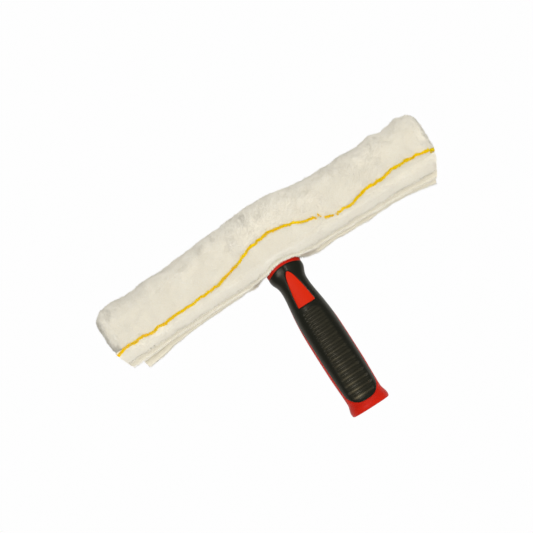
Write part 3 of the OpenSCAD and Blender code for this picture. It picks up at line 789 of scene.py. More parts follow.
def tufts(name, mat, grid, nrm, size_u, size_v, spacing, length, rng, keep=None, width=0.5,
          lean=0.55, comb=(0, 0, 0), box=None, fall=0.0):
    """Tapered tufts of yarn standing on a surface. grid holds its points and nrm its normals."""
    nu, nv = max(2, int(size_u / spacing)), max(2, int(size_v / spacing))
    iu, iv = np.meshgrid(np.arange(nu), np.arange(nv), indexing="ij")
    iu, iv = iu.ravel(), iv.ravel()
    u = (iu + 0.5 + rng.uniform(-0.42, 0.42, iu.size)) / nu
    v = (iv + 0.5 + rng.uniform(-0.42, 0.42, iu.size)) / nv
    root, n = sample(grid, u, v), sample(nrm, u, v)
    if keep is not None:
        use = keep(root, v)
        u, v, iu, iv, root, n = u[use], v[use], iu[use], iv[use], root[use], n[use]
    k = len(root)
    if not k:
        return []
    cx = np.stack([field_noise(rng, nu, nv, 6)[iu, iv] for _ in range(3)], -1) * 0.2
    fine = rng.normal(0, 0.26, (k, 3))
    last = np.clip(v * 4 - 3, 0, 1)
    way = n + lean * (cx + fine) + np.array(comb) * (np.clip(v * 4, 0, 1) + fall * last)[:, None]
    way /= np.linalg.norm(way, axis=1, keepdims=True)
    uneven = 1 + 0.09 * field_noise(rng, nu, nv, 7)[iu, iv] + rng.normal(0, 0.09, k)
    tall = length * (1 + 0.15 * fall * last) * uneven
    side = np.cross(way, rng.normal(0, 1, (k, 3)))
    side /= np.linalg.norm(side, axis=1, keepdims=True)
    other = np.cross(way, side)
    bend = (cx + fine + np.array([0, 0, -0.05])) * 0.5
    w = width * rng.uniform(0.8, 1.2, k)
    pts, tips, shade = [], [], []
    for share, r, b in ((0.0, 1.0, 0.0), (0.66, 0.82, 0.28)):
        centre = root + way * (tall * share)[:, None] + bend * (tall * b * 0.5)[:, None]
        for q in range(3):
            t = 2 * math.pi * q / 3
            out = side * math.cos(t) + other * math.sin(t)
            pts.append(centre + out * (w * r)[:, None])
            tips.append(np.full(k, share))
            shade.append(n + out * 0.45)
    pts.append(root + way * tall[:, None] + bend * (tall * 0.5)[:, None])
    tips.append(np.ones(k))
    shade.append(n + way * 0.3)
    verts, shade, tips = np.stack(pts, 1), np.stack(shade, 1), np.stack(tips, 1)
    if box is not None:
        verts = np.clip(verts, box[0], box[1])
    tri = []
    for q in range(3):
        r = (q + 1) % 3
        tri += [(q, r, 3 + r), (q, 3 + r, 3 + q), (3 + q, 3 + r, 6)]
    local = [(0.1 + 0.27 * q, 0.1 + 0.4 * level) for level in range(2) for q in range(3)]
    local = np.array(local + [(0.4, 0.92)])
    uv = (np.stack([iu, iv], 1)[:, None, :] + local[None]) / np.array([nu, nv])
    made = []
    cells = 1 + k * len(tri) // MAX_FACES
    cell = np.minimum((u * cells).astype(int), cells - 1)
    for c in range(cells):
        part = np.flatnonzero(cell == c)
        faces = (np.array(tri)[None] + 7 * np.arange(len(part))[:, None, None]).reshape(-1, 3)
        spread = uv[part].reshape(-1, 2) * np.array([cells, 1]) - np.array([c, 0])
        ob = make_object(name if cells == 1 else f"{name}_{c + 1}", verts[part].reshape(-1, 3), faces,
                         mat, True, np.clip(spread, 0, 1), {"tip": tips[part].ravel()})
        nn = shade[part].reshape(-1, 3)
        nn /= np.linalg.norm(nn, axis=1, keepdims=True)
        ob.data.normals_split_custom_set_from_vertices(nn.tolist())
        made.append(ob)
    return made


# The middle of the yellow row, followed in pixels of the photograph turned level and enlarged four
# times. STRIPE_PIXEL_X is the pixel at X = 0 and STRIPE_PIXEL_Y the one at Y = STRIPE_MID_Y.
STRIPE_ZOOM, STRIPE_PIXEL_X, STRIPE_PIXEL_Y, STRIPE_MID_Y = 4, 200, 50, 179.8
STRIPE_SEED = 5
STRIPE = [(60, 262), (120, 252), (200, 255), (260, 255), (330, 248), (400, 250), (470, 243), (540, 238),
          (600, 222), (660, 205), (700, 190), (740, 178), (800, 170), (830, 168), (880, 180), (920, 190),
          (960, 205), (1000, 218), (1040, 232), (1080, 250), (1120, 250), (1160, 252), (1200, 240),
          (1240, 230), (1300, 230), (1360, 220), (1400, 218), (1460, 220), (1500, 225), (1550, 235)]
STRIPE_X = np.array([(p[0] / STRIPE_ZOOM - STRIPE_PIXEL_X) * PIXEL for p in STRIPE])
STRIPE_Y = np.array([STRIPE_MID_Y - (p[1] / STRIPE_ZOOM - STRIPE_PIXEL_Y) * PIXEL for p in STRIPE])


def in_stripe(p, width):
    """Which points of the front lie in the yellow row, which is broken up as yarn is."""
    rng = np.random.default_rng(STRIPE_SEED)
    line = np.interp(p[:, 0], STRIPE_X, STRIPE_Y)
    wobble = np.interp(p[:, 0], np.arange(-180, 181, 4), rng.normal(0, 0.5, 91))
    wide = width * np.interp(p[:, 0], np.arange(-180, 181, 5), rng.uniform(0.88, 1.08, 73))
    wide = wide * np.interp(p[:, 0], [36, 46, 70, 96], [1, 0.8, 0.8, 1])
    thin = (p[:, 0] > 46) & (p[:, 0] < 70)
    gaps = np.interp(p[:, 0], np.arange(-180, 181, 2.5), rng.uniform(0, 1, 145))
    loose = np.interp(p[:, 0], np.arange(-180, 181, 1.3), rng.uniform(-2.4, 2.4, 278))
    wobble = wobble + np.where(thin, loose, 0)
    return (np.abs(p[:, 1] - line - wobble) < wide / 2) & (p[:, 2] > 3) & ~(thin & (gaps < 0.3))


END_START = SLEEVE / 2 - 8.1


def settle(pieces, body="frame"):
    for ob in pieces:
        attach(ob, body)


# How far the far edge of the sleeve bulges beyond its straight form, in X and Y.
BULGE = ([-176, -166, -152, -138, -112, -92, -72, -52, -34, -8,
          26, 42, 64, 92, 100, 118, 134, 144, 160, 172],
         [-5, -1.2, 0.6, -2.2, 0.4, 0, 1, 2.3, 0.2, 0.6,
          1.9, -0.4, -0.8, 0.6, 2, 0.8, 3.8, 0.6, 4.2, 1.8])
# How much further the sleeve's right end and its left end reach than in the part's source.
REACH_RIGHT, REACH_LEFT = 3.6, -1.2
# No tuft reaches out of this box.
PILE_BOX = (np.array([-SLEEVE / 2 - 1.5, 100, -REST]),
            np.array([SLEEVE / 2 + REACH_RIGHT + 1.6, 260, 60]))
# The middle of a closed end in Y and Z, its radius, and the length round it that its tufts share.
END_MIDDLE, END_RADIUS, END_ROUND = (187.35, 0.85), 21.0, 118.0


def shaped(grid):
    """Gives the sleeve its uneven far edge, and moves its ends to where the cloth reaches."""
    out = grid.copy()
    out[..., 1] += smooth((grid[..., 1] - 190) / 20) * np.interp(grid[..., 0], *BULGE)
    out[..., 0] += REACH_RIGHT * smooth((grid[..., 0] - 130) / 40)
    out[..., 0] -= REACH_LEFT * smooth((-grid[..., 0] - 140) / 30)
    return out


def sleeve_grid(depth):
    """Points of the sleeve's surface at the depth below its CAD form, rows along X."""
    rows = []
    for x in np.linspace(-END_START, END_START, 301):
        line, _ = section(x, 121)
        rows.append(np.column_stack([np.full(len(line), x), line]))
    grid = np.array(rows)
    n = normals_of(grid)
    if n[len(n) // 2, 40, 2] < 0:
        n = -n
    past = np.abs(grid[..., :1]) - END_START
    round_off = 1.1 * smooth((past + 9) / 9)
    turned = n + np.sign(grid) * np.array([0.5, 0, 0]) * smooth((past + 7) / 7)
    turned /= np.linalg.norm(turned, axis=-1, keepdims=True)
    return shaped(grid - n * (depth + round_off)), turned


def end_grid(side, depth):
    """Points of one closed end at the depth below its CAD form, from its rim to its middle."""
    turn = np.radians(np.linspace(0, 66, 16))
    scale = np.concatenate([np.cos(turn) ** 0.31, np.linspace(0.72, 0.03, 18)])
    x = side * (END_START - 3.0 + 11.1 * (1 - scale**5.0) ** (1 / 2.4))
    low, high = FOLD_Y - 4.0, BAR_Y + BAR_W / 2 + 0.5 + FABRIC
    a = np.linspace(0, 2 * np.pi, 97)
    p, q = oval((high - low) / 2, (HALF_IN + FABRIC + REST) / 2, a, 2.3)
    y = (low + high) / 2 + scale[:, None] * p[None, :]
    z = (HALF_IN + FABRIC - REST) / 2 + scale[:, None] * q[None, :]
    grid = np.stack([x[:, None] + 0 * y, y, z], -1)
    n = normals_of(grid)
    if n[-4, 10, 0] * side < 0:
        n = -n
    n[:, 0] = n[:, -1] = 0.5 * (n[:, 1] + n[:, -2])
    n /= np.linalg.norm(n, axis=-1, keepdims=True)
    return shaped(grid - n * depth), n


def plush_slab(name, outer, inner, flip=False):
    """The ground that the pile stands on: a closed slab between two grids of points."""
    rows, cols = outer.shape[:2]
    uv = grid_uv(rows, cols, 0.01, 0.99, 0.49)
    ob = make_object(name, np.concatenate([outer.reshape(-1, 3), inner.reshape(-1, 3)]),
                     slab_faces(rows, cols, flip), material("plush"), True,
                     np.concatenate([uv, uv + np.array([0, 0.5])]),
                     # The ground lies deep in the pile and gets the painted shade of the tufts' lower
                     # parts.
                     {"tip": np.full(2 * rows * cols, GROUND_SHADE)})
    close_caps(ob)
    return ob


def build_sleeve(settings, rng):
    """The plush round the bar, with the yellow row on its upper side."""
    pile = settings.pile_visible
    grid, n = sleeve_grid(pile * GROUND_DEPTH)
    upper = np.clip(n[..., 1], 0, 1)
    ripple = field_noise(rng, grid.shape[0], grid.shape[1], 12) * mix(0.16, 0.55, upper)
    ripple += field_noise(rng, grid.shape[0], grid.shape[1], 5) * mix(0.05, 0.3, upper)
    bottom = smooth((-grid[..., 2] - 10) / 5)
    grid = grid + n * (np.clip(ripple, -1.2, 1.0) * (1 - bottom))[..., None]
    base = plush_slab("sleeve_ground", grid, sleeve_grid(FABRIC - 0.2)[0])
    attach(base, "frame")
    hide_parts("sleeve_panel")
    _, around = section(100.0)

    def front(p, v):
        return (p[:, 2] >= 0) & ~in_stripe(p, settings.stripe_width)

    def back(p, v):
        return p[:, 2] < 0

    def yellow(p, v):
        return in_stripe(p, settings.stripe_width) & (p[:, 2] > 0)

    for side, keep in (("front", front), ("back", back)):
        settle(tufts(f"sleeve_pile_{side}", material("plush"), grid, n, 2 * END_START, around,
                     settings.spacing, pile, rng, keep, settings.tuft_width, box=PILE_BOX))
    settle(tufts("yellow_yarn_row", material("yellow"), grid, n, 2 * END_START, around,
                 settings.spacing * 0.5, pile * 1.2, rng, yellow, settings.tuft_width * 0.9, 0.3,
                 box=PILE_BOX))
    return base


def build_end(settings, rng, side, label):
    """A closed end of the sleeve. Its tufts stand on rings, so they thin out towards the middle,
    where the rings lie close together."""
    pile = settings.pile_visible
    cap, cn = end_grid(side, pile * GROUND_DEPTH)
    rows, cols = cap.shape[:2]
    cap = cap + cn * (field_noise(rng, rows, cols, 8) * 0.4)[..., None]
    cap[:, -1] = cap[:, 0]
    ground = make_object(f"end_ground_{label}", cap, grid_faces(rows, cols, False, side > 0),
                         material("plush"), True, grid_uv(rows, cols, 0.02, 0.98, 0.98),
                         {"tip": np.full(rows * cols, GROUND_SHADE)})
    bm = bmesh.new()
    bm.from_mesh(ground.data)
    bmesh.ops.remove_doubles(bm, verts=bm.verts, dist=1e-6)
    bm.to_mesh(ground.data)
    bm.free()
    close_caps(ground)
    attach(ground, "frame")
    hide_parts(f"end_panel_{label}")
    across = np.linalg.norm(np.diff(cap, axis=0), axis=-1).mean(1).sum()

    def thinned(p):
        share = np.hypot(p[:, 1] - END_MIDDLE[0], p[:, 2] - END_MIDDLE[1]) / END_RADIUS
        return np.random.default_rng(3).uniform(0, 1, len(p)) < np.clip(share * 1.1, 0.03, 1)

    def yellow(p, v):
        return in_stripe(p, settings.stripe_width) & (p[:, 2] > 2) & thinned(p)

    def white(p, v):
        return ~(in_stripe(p, settings.stripe_width) & (p[:, 2] > 2)) & thinned(p)

    for kind, key, size, keep in (("pile", "plush", 1.0, white), ("yellow", "yellow", 0.62, yellow)):
        settle(tufts(f"end_{kind}_{label}", material(key), cap, cn, across, END_ROUND,
                     settings.spacing * size, pile * 0.85, rng, keep, settings.tuft_width,
                     box=PILE_BOX))


# Lips


def lip_values(front):
    """Name, body, drop, length and direction in Z of one lip."""
    if front:
        return "front", "front_flap", FRONT_DROP, FRONT_LEN, 1
    return "back", "back_flap", BACK_DROP, BACK_LEN, -1


def lip_edge(x, drop):
    """Where a lip ends at x: on its hem's line, or on the arch beside the handle."""
    beside = arch(np.minimum(np.abs(x), COLLAR_W / 2 - 0.4), ARCH_R) + 0.5
    return mix(BAR_EDGE - drop, beside, open_at(x))


# Where the front lip and the back lip end in X, and how far their edges are out of line in Y.
LIP_ENDS = {True: (-165.5, 166.5), False: (-153.5, 164.5)}
SAG = {
    True: ([-165, -140, -105, -70, -45, -38, 38, 60, 93, 130, 165],
           [-3.6, -2.4, -0.8, 0.3, 0.4, 0, 0, 0.3, -0.8, -1.8, -5.0]),
    False: ([-153, -140, -130, -120, -104, -88, -56, -42, -32, 36, 56, 72, 93, 106, 120, 136, 152, 164],
            [-6.0, -4.5, -2.7, -0.4, 1.2, 2.3, 3.3, 3.6, 0, 0, 2.2, 0.8, 0.3, 1.3, 2.0, 0.4, -1.9, -4.5]),
}


def sagged(grid, front, drop):
    """Moves the lower part of a lip or hem along Y by what the real one is out of line."""
    x, y = grid[..., 0], grid[..., 1]
    share = np.clip((FOLD_Y - y) / (FOLD_Y - (BAR_EDGE - drop)), 0, 1)
    out = grid.copy()
    out[..., 1] += share**1.5 * np.interp(x, *SAG[front])
    wider = np.where(x > 0, 10.8, 8.5) if front else 5.0
    out[..., 0] += np.sign(x) * smooth((np.abs(x) - 120) / 40) * wider * (1 - share) ** 0.7
    if front:
        # The right end starts level with the sleeve's end and swells out below the fold.
        out[..., 0] -= 2.4 * smooth((x - 140) / 25) * np.exp(-share / 0.1)
    else:
        # Beside the handle the back lip hangs lower on the right than on the left.
        left, right = np.exp(-((x + 36) / 7) ** 2), np.exp(-((x - 25) / 6) ** 2)
        out[..., 1] += share**1.5 * (2.0 * left - 3.0 * right)
    return out


def lip_lines(x, drop, front):
    """Inner and outer outlines of a lip at x, from the fold to its hem, as points (y, z)."""
    e = float(lip_edge(np.array(x), drop)) + HEM_H
    m = float(open_at(np.array(x)))
    f = FOLD_Y
    full = HALF_IN + FABRIC if front else REST
    full_open = HALF_FORK + FABRIC if front else REST
    low = TAPE_FACE + HEM_T + 0.3
    low_open = min(HALF_FORK + HEM_T + 0.8, full_open - 0.4)
    shut_in = [(f, HALF_IN), (BAR_EDGE, HALF_IN * 0.7), (BAR_EDGE - 2.8, TAPE_FACE + 0.4),
               (e, TAPE_FACE)]
    open_in = [(mix(f, e, t), HALF_FORK) for t in (0, 0.5, 0.8, 1)]
    shut_out = [(f, full), (mix(f, e, 0.36), mix(full, low, 0.2)), (mix(f, e, 0.74), mix(full, low, 0.62)),
                (e, low)]
    open_out = [(f, full_open), (mix(f, e, 0.4), mix(full_open, low_open, 0.1)),
                (mix(f, e, 0.75), mix(full_open, low_open, 0.5)), (e, low_open)]
    inner = np.array([mix(np.array(p), np.array(q), m) for p, q in zip(shut_in, open_in)])
    outer = np.array([mix(np.array(p), np.array(q), m) for p, q in zip(shut_out, open_out)])
    return inner, outer


def curve_through(points, n):
    """A smooth line of n points through a few, with chord lengths as its measure."""
    points = np.asarray(points, float)
    t = np.concatenate([[0], np.cumsum(np.linalg.norm(np.diff(points, axis=0), axis=1))])
    t /= t[-1]
    fine = np.linspace(0, 1, n)
    out = np.stack([np.interp(fine, t, points[:, k]) for k in range(points.shape[1])], 1)
    for _ in range(max(1, n // 3)):
        out[1:-1] = 0.25 * out[:-2] + 0.5 * out[1:-1] + 0.25 * out[2:]
    return out


def build_lip(settings, rng, front):
    """One lip: its cloth, its pile and, in front, the yellow tufts that fall on it."""
    label, body, drop, length, sign = lip_values(front)
    pile = settings.pile_visible * 0.8
    rows, cols = 301, 17
    outer, inner = [], []
    for x in np.linspace(*LIP_ENDS[front], rows):
        a, b = lip_lines(x, drop, front)
        inner.append(np.column_stack([np.full(cols, x), curve_through(a, cols)]))
        outer.append(np.column_stack([np.full(cols, x), curve_through(b, cols)]))
    outer, inner = (sagged(np.array(g), front, drop) for g in (outer, inner))
    outer[..., 2] *= sign
    inner[..., 2] *= sign
    n = normals_of(outer)
    if n[rows // 2, cols // 2, 2] * sign < 0:
        n = -n
    fade = np.linspace(0, 1, cols)[None, :, None]
    # The cloth turns over from the sleeve's face without a crease.
    turn = smooth(fade / 0.6)
    n = n * turn + np.array([0, 0, sign]) * (1 - turn)
    n /= np.linalg.norm(n, axis=-1, keepdims=True)
    grid = outer - n * (pile * 0.8 * (1 - 0.55 * fade))
    wave = field_noise(rng, rows, cols, 10) * 0.4
    grid = grid + n * wave[..., None]
    thick = (grid[..., 2] - inner[..., 2]) * sign
    grid[..., 2] += sign * np.maximum(0, 0.7 - thick)
    base = plush_slab(f"{label}_lip_ground", grid, inner, front)
    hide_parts(f"{label}_lip")
    size = 18.0 if front else 24.0
    width = settings.stripe_width * 0.85

    def white(p, v):
        return ~in_stripe(p, width)

    def yellow(p, v):
        return (v < 0.95) & in_stripe(p, width)

    made = [base] + tufts(f"{label}_lip_pile", material("plush"), grid, n, length, size,
                          settings.spacing, pile, rng, white, settings.tuft_width,
                          comb=(0, -0.28, 0), box=PILE_BOX, fall=2.5)
    if front:
        made += tufts("front_lip_yellow_row", material("yellow"), grid, n, length, size,
                      settings.spacing * 0.5, pile * 1.2, rng, yellow, settings.tuft_width * 0.85, 0.3,
                      comb=(0, -0.28, 0), box=PILE_BOX)
    for o in made:
        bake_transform(o)
    return base


def build_hem(settings, front, rng):
    """The rolled hem of a lip, with a fuzz of pile over it and a row of stitches."""
    label, body, drop, length, sign = lip_values(front)
    full_open = HALF_FORK + FABRIC if front else REST
    xs = np.linspace(*LIP_ENDS[front], 421)
    m = open_at(xs)
    e = lip_edge(xs, drop)
    thick = mix(HEM_T, min(HEM_T, full_open - HALF_FORK - 0.4), m)
    z = mix(TAPE_FACE, HALF_FORK, m) + thick / 2
    n = 20
    t = -2 * np.pi * (np.arange(n) + 0.5) / n
    wave = np.interp(xs, np.linspace(*LIP_ENDS[front], 44), rng.normal(0, 0.22, 44))
    cy = np.sign(np.cos(t)) * np.abs(np.cos(t)) ** 0.8
    cz = np.sign(np.sin(t)) * np.abs(np.sin(t)) ** 0.8
    pucker = 1 - 0.10 * np.cos(xs / HEM_PITCH * 2 * np.pi) ** 2
    y = e[:, None] + HEM_H / 2 * (1 + cy[None, :]) + wave[:, None]
    zz = z[:, None] + (thick / 2 * pucker)[:, None] * cz[None, :]
    # The stitched line pulls the upper face in.
    row = np.exp(-((cy[None, :] - 0.25) / 0.22) ** 2) * (cz[None, :] > 0)
    zz = zz - 0.35 * row
    pts = sagged(np.stack([np.repeat(xs[:, None], n, 1), y, zz * sign], -1), front, drop)
    ob = make_object(f"{label}_hem_roll", pts, grid_faces(len(xs), n, True, not front), material("hem"),
                     True, grid_uv(len(xs), n, 0.01, 0.99, 0.95))
    close_caps(ob)
    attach(ob, body)
    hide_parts(f"{label}_hem")
    hn = normals_of(pts)
    if hn[200, 4, 2] * cz[4] * sign < 0:
        hn = -hn

    def outside(p, v):
        return p[:, 2] * sign > np.interp(p[:, 0], xs, z) - 0.4

    settle(tufts(f"{label}_hem_fuzz", material("plush"), pts, hn, length, 13.0,
                 settings.spacing * 0.85, 1.5, rng, outside, settings.tuft_width * 0.7, 0.5,
                 (0, -0.3, 0), (np.array([-200, 100, -REST]), np.array([200, 260, 60]))),
           body)
    verts, faces = [], []
    for x in np.arange(LIP_ENDS[front][0] + 3, LIP_ENDS[front][1] - 3, HEM_PITCH):
        mid = []
        for k in range(5):
            s = k / 4
            px = x + STITCH_LEN * s
            pe = float(np.interp(px, xs, e + wave)) + float(np.interp(px, *SAG[front])) * 0.9
            top = float(np.interp(px, xs, z + thick / 2))
            mid.append((px, pe + HEM_H * 0.63, (top - 0.32 + 0.34 * math.sin(math.pi * s)) * sign))
        at = len(verts)
        for p in mid:
            for q in range(5):
                a = 2 * math.pi * q / 5
                verts.append((p[0], p[1] + STITCH_R * math.cos(a), p[2] + STITCH_R * math.sin(a)))
        for k in range(4):
            for q in range(5):
                r = (q + 1) % 5
                faces.append((at + k * 5 + q, at + k * 5 + r, at + k * 5 + 5 + r, at + k * 5 + 5 + q))
    st = make_object(f"{label}_hem_stitches", verts, faces, material("thread"))
    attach(st, body)


def build_tape(name, node, side, body, key, sign):
    """A fastening tape: a strip whose nap stands proud of a flat rim."""
    start = CLOSE_HALF + 2
    x0 = start if side > 0 else -start - TAPE_LEN
    y0 = BAR_EDGE - FRONT_DROP + 0.5
    nx, ny = 180, 24
    u, v = np.linspace(0, 1, nx), np.linspace(0, 1, ny)
    x = x0 + TAPE_LEN * u[:, None] + 0 * v[None, :]
    y = y0 + TAPE_W * v[None, :] + 0 * u[:, None]
    edge = np.minimum(np.minimum(u * TAPE_LEN, (1 - u) * TAPE_LEN)[:, None],
                      np.minimum(v * TAPE_W, (1 - v) * TAPE_W)[None, :])
    nap = NAP * smooth((edge - 0.5) / 0.6)
    face = np.stack([x, y, (TAPE_GAP + NAP - nap + 0 * x) * sign], -1)
    back = np.stack([x, y, (TAPE_GAP + (TAPE_T - 0.02) + 0 * x) * sign], -1)
    ob = make_object(name, np.concatenate([face.reshape(-1, 3), back.reshape(-1, 3)]),
                     slab_faces(nx, ny, sign > 0), material(key))
    close_caps(ob)
    ob.data.set_sharp_from_angle(angle=math.radians(45))
    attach(ob, body)
    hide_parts(node)


# Studio

# The point that the camera looks at in millimetres, the direction that points up in the photograph,
# the photograph's width in pixels, and the camera's distance in metres and sensor in millimetres.
VIEW_CENTRE = (-12.3, 162.0, 0.0)
IMAGE_UP = Vector((0.5371, 0.8435, 0.0))
PHOTO_WIDTH, DISTANCE, SENSOR = 533, 2.0, 36.0
# Each light's name, place and size in metres, and its power as a share of the key setting.
LIGHTS = (
    ("key", (-0.24, 0.06, 1.15), 0.30, 0.5),
    ("head", (0.20, 1.10, 1.00), 1.3, 1.32),
    ("side", (1.05, 0.10, 0.90), 0.9, 0.76),
    ("foot", (-0.15, -0.95, 0.75), 0.9, 1.18),
    ("left", (-1.05, 0.35, 0.75), 0.9, 0.24),
)


def area_light(name, where, target, size, power, shines=False):
    """A round softbox. Only the key light is white, and mirrored in glossy surfaces."""
    data = bpy.data.lights.new(name, "AREA")
    data.color = (1, 1, 1) if shines else (1, 0.98, 0.91)
    data.shape, data.size, data.energy = "DISK", size, power
    ob = bpy.data.objects.new(name, data)
    bpy.context.scene.collection.objects.link(ob)
    ob.location = where
    ob.visible_glossy = shines
    ob.rotation_euler = (Vector(target) - Vector(where)).to_track_quat("-Z", "Y").to_euler()


def build_studio(s):
    """The camera, the white room, the floor and the lights."""
    scene = bpy.context.scene
    cam = bpy.data.objects.new("camera", bpy.data.cameras.new("camera"))
    scene.collection.objects.link(cam)
    scene.camera = cam
    centre = Vector(VIEW_CENTRE) * MM
    tilt_x, tilt_y = math.radians(s.tilt_side), math.radians(s.tilt_along)
    back = Vector((-math.sin(tilt_x), -math.sin(tilt_y), 1)).normalized()
    up = (IMAGE_UP - back * IMAGE_UP.dot(back)).normalized()
    right = up.cross(back)
    m = Matrix((right, up, back)).transposed().to_4x4()
    m.translation = centre + back * DISTANCE
    cam.matrix_world = m
    cam.data.sensor_width = SENSOR
    cam.data.lens = SENSOR * DISTANCE / (PHOTO_WIDTH * PIXEL * MM)
    cam.data.clip_end = 20
    scene.view_settings.view_transform = "Standard"
    scene.view_settings.look = "None"
    world = bpy.data.worlds.new("studio")
    scene.world = world
    world.use_nodes = True
    sky = world.node_tree
    bg = sky.nodes["Background"]
    # The camera sees a white room; the object is lit by a warm, weak fill.
    seen = add(sky, "ShaderNodeLightPath", (-700, 0)).outputs["Is Camera Ray"]
    sky.links.new(blend_colours(sky, seen, (1.0, 0.93, 0.8, 1), (1, 1, 1, 1)), bg.inputs["Color"])
    level = add(sky, "ShaderNodeMath", (-300, -200), operation="MULTIPLY_ADD")
    sky.links.new(seen, level.inputs[0])
    level.inputs[1].default_value = 0.99 - s.fill
    level.inputs[2].default_value = s.fill
    sky.links.new(level.outputs[0], bg.inputs["Strength"])
    mesh = bpy.data.meshes.new("floor")
    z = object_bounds()[0][2] - 0.0004
    mesh.from_pydata([(-3, -3, z), (3, -3, z), (3, 3, z), (-3, 3, z)], [], [(0, 1, 2, 3)])
    floor = bpy.data.objects.new("floor", mesh)
    scene.collection.objects.link(floor)
    mat = bpy.data.materials.new("pale_floor")
    mat.use_nodes = True
    t = mat.node_tree
    shader = t.nodes["Principled BSDF"]
    shader.inputs["Base Color"].default_value = (0.84, 0.84, 0.84, 1)
    shader.inputs["Roughness"].default_value = 0.8
    glow = add(t, "ShaderNodeEmission", (0, -250))
    glow.inputs["Color"].default_value = (0.99, 0.99, 0.99, 1)
    path = add(t, "ShaderNodeLightPath", (0, 250))
    both = add(t, "ShaderNodeMixShader", (320, 0))
    t.links.new(path.outputs["Is Camera Ray"], both.inputs[0])
    t.links.new(shader.outputs[0], both.inputs[1])
    t.links.new(glow.outputs[0], both.inputs[2])
    t.links.new(both.outputs[0], t.nodes["Material Output"].inputs["Surface"])
    mesh.materials.append(mat)
    floor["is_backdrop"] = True
    for name, where, size, share in LIGHTS:
        area_light(name, where, centre, size, s.key * share, name == "key")


# Add-on


class HandleSettings(bpy.types.PropertyGroup):
    columns: IntProperty(
        name="Columns", description="Points round the handle", default=176, min=48, max=256)
    rows_per_rib: IntProperty(
        name="Rows per rib", description="Rows of points on each rib", default=10, min=4, max=16)


class SleeveSettings(bpy.types.PropertyGroup):
    pile_visible: FloatProperty(
        name="Visible pile (mm)", description="How far the tufts stand out", default=2.8, min=1.0, max=7.0)
    spacing: FloatProperty(
        name="Tuft spacing (mm)", description="Distance between tufts", default=0.95, min=0.7, max=3.0)
    tuft_width: FloatProperty(
        name="Tuft half width (mm)", description="Half width of a tuft's foot",
        default=0.44, min=0.1, max=1.2)
    stripe_width: FloatProperty(
        name="Stripe width (mm)", description="Width of the yellow row", default=2.65, min=1.0, max=6.0)
    seed: IntProperty(name="Seed", description="Seed of the tufts' places and lie", default=11)


class ColourSettings(bpy.types.PropertyGroup):
    plush: StringProperty(name="Plush", description="sRGB hex value of the pile", default="F6F4ED")
    stripe: StringProperty(name="Stripe", description="sRGB hex value of the yellow row", default="FFE614")
    rubber: StringProperty(name="Rubber", description="sRGB hex value of the grip", default="0D100D")
    plastic: StringProperty(name="Plastic", description="sRGB hex value of the core", default="C01E0A")
    badge: StringProperty(name="Badge", description="sRGB hex value of the wedge", default="C8270C")


class StudioSettings(bpy.types.PropertyGroup):
    key: FloatProperty(
        name="Key light", description="Power that the lights share out", default=7.4, min=0.0,
        unit="POWER")
    fill: FloatProperty(
        name="Fill", description="Strength of the room's own light", default=0.22, min=0.0, max=0.99,
        subtype="FACTOR")
    tilt_side: FloatProperty(
        name="Camera tilt to the side (degrees)", description="Turn of the camera about the handle",
        default=4.0)
    tilt_along: FloatProperty(
        name="Camera tilt along the handle (degrees)",
        description="Turn of the camera about the crossbar", default=2.0)


class SCRUB_OT_handle(bpy.types.Operator):
    """Builds the red core, the rubber cover and the badge."""

    bl_idname = "scrubber.handle"
    bl_label = "Build the handle"

    def execute(self, context):
        s = context.scene.scrub_handle
        build_core(s.columns)
        build_grip(s.columns, s.rows_per_rib)
        build_badge()
        return {"FINISHED"}


class SCRUB_OT_hardware(bpy.types.Operator):
    """Gives the crossbar, its caps and the screws their materials."""

    bl_idname = "scrubber.hardware"
    bl_label = "Finish the crossbar, its caps and the screws"

    def execute(self, context):
        for node, key in (("crossbar", "grey"), ("end_cap_left", "cap"), ("end_cap_right", "cap"),
                          ("fork_screws", "steel")):
            paint(node, material(key))
        return {"FINISHED"}


class SCRUB_OT_sleeve(bpy.types.Operator):
    """Builds the plush round the bar and its closed ends."""

    bl_idname = "scrubber.sleeve"
    bl_label = "Build the plush sleeve"

    def execute(self, context):
        s = context.scene.scrub_sleeve
        rng = np.random.default_rng(s.seed)
        base = build_sleeve(s, rng)
        for side, label in ((-1, "left"), (1, "right")):
            build_end(s, rng, side, label)
        return {"FINISHED"}


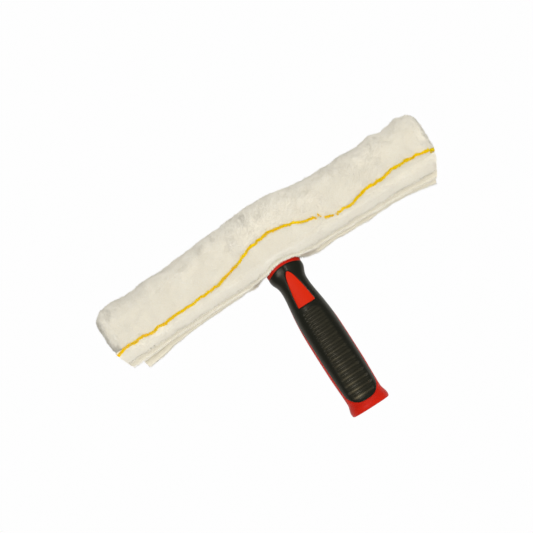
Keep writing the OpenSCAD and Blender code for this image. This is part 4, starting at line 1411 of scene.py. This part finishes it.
class SCRUB_OT_lips(bpy.types.Operator):
    """Builds the two lips, their hems and the fastening tapes."""

    bl_idname = "scrubber.lips"
    bl_label = "Build the lips, their hems and the tapes"

    def execute(self, context):
        s = context.scene.scrub_sleeve
        for k, front in enumerate((True, False)):
            rng = np.random.default_rng(s.seed + 31 + k)
            base = build_lip(s, rng, front)
            build_hem(s, front, rng)
        for side, label in ((-1, "left"), (1, "right")):
            build_tape(f"loop_strip_{label}", f"loop_tape_{label}", side, "front_flap", "loop", 1)
            build_tape(f"hook_strip_{label}", f"hook_tape_{label}", side, "back_flap", "hook", -1)
        return {"FINISHED"}


class SCRUB_OT_studio(bpy.types.Operator):
    """Sets the camera, the room, the floor and the lights."""

    bl_idname = "scrubber.studio"
    bl_label = "Build the studio"

    def execute(self, context):
        build_studio(context.scene.scrub_studio)
        return {"FINISHED"}


class SCRUB_PT_panel(bpy.types.Panel):
    bl_label = "Window scrubber"
    bl_space_type = "VIEW_3D"
    bl_region_type = "UI"
    bl_category = "Scrubber"

    def draw(self, context):
        scene, col = context.scene, self.layout.column()
        for group, kind in GROUPS.items():
            for name in kind.__annotations__:
                col.prop(getattr(scene, group), name)
        for op in STEPS:
            col.operator(op)


GROUPS = {"scrub_handle": HandleSettings, "scrub_sleeve": SleeveSettings,
          "scrub_colours": ColourSettings, "scrub_studio": StudioSettings}
STEPS = ("scrubber.studio", "scrubber.handle", "scrubber.hardware", "scrubber.sleeve", "scrubber.lips")
CLASSES = (*GROUPS.values(), SCRUB_OT_handle, SCRUB_OT_hardware, SCRUB_OT_sleeve, SCRUB_OT_lips,
           SCRUB_OT_studio, SCRUB_PT_panel)


def register():
    for c in CLASSES:
        bpy.utils.register_class(c)
    for name, kind in GROUPS.items():
        setattr(bpy.types.Scene, name, PointerProperty(type=kind))


def unregister():
    for name in GROUPS:
        delattr(bpy.types.Scene, name)
    for c in reversed(CLASSES):
        bpy.utils.unregister_class(c)


def main():
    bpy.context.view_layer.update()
    register()
    for step in STEPS:
        group, name = step.split(".")
        getattr(getattr(bpy.ops, group), name)()


if __name__ == "__main__":
    main()
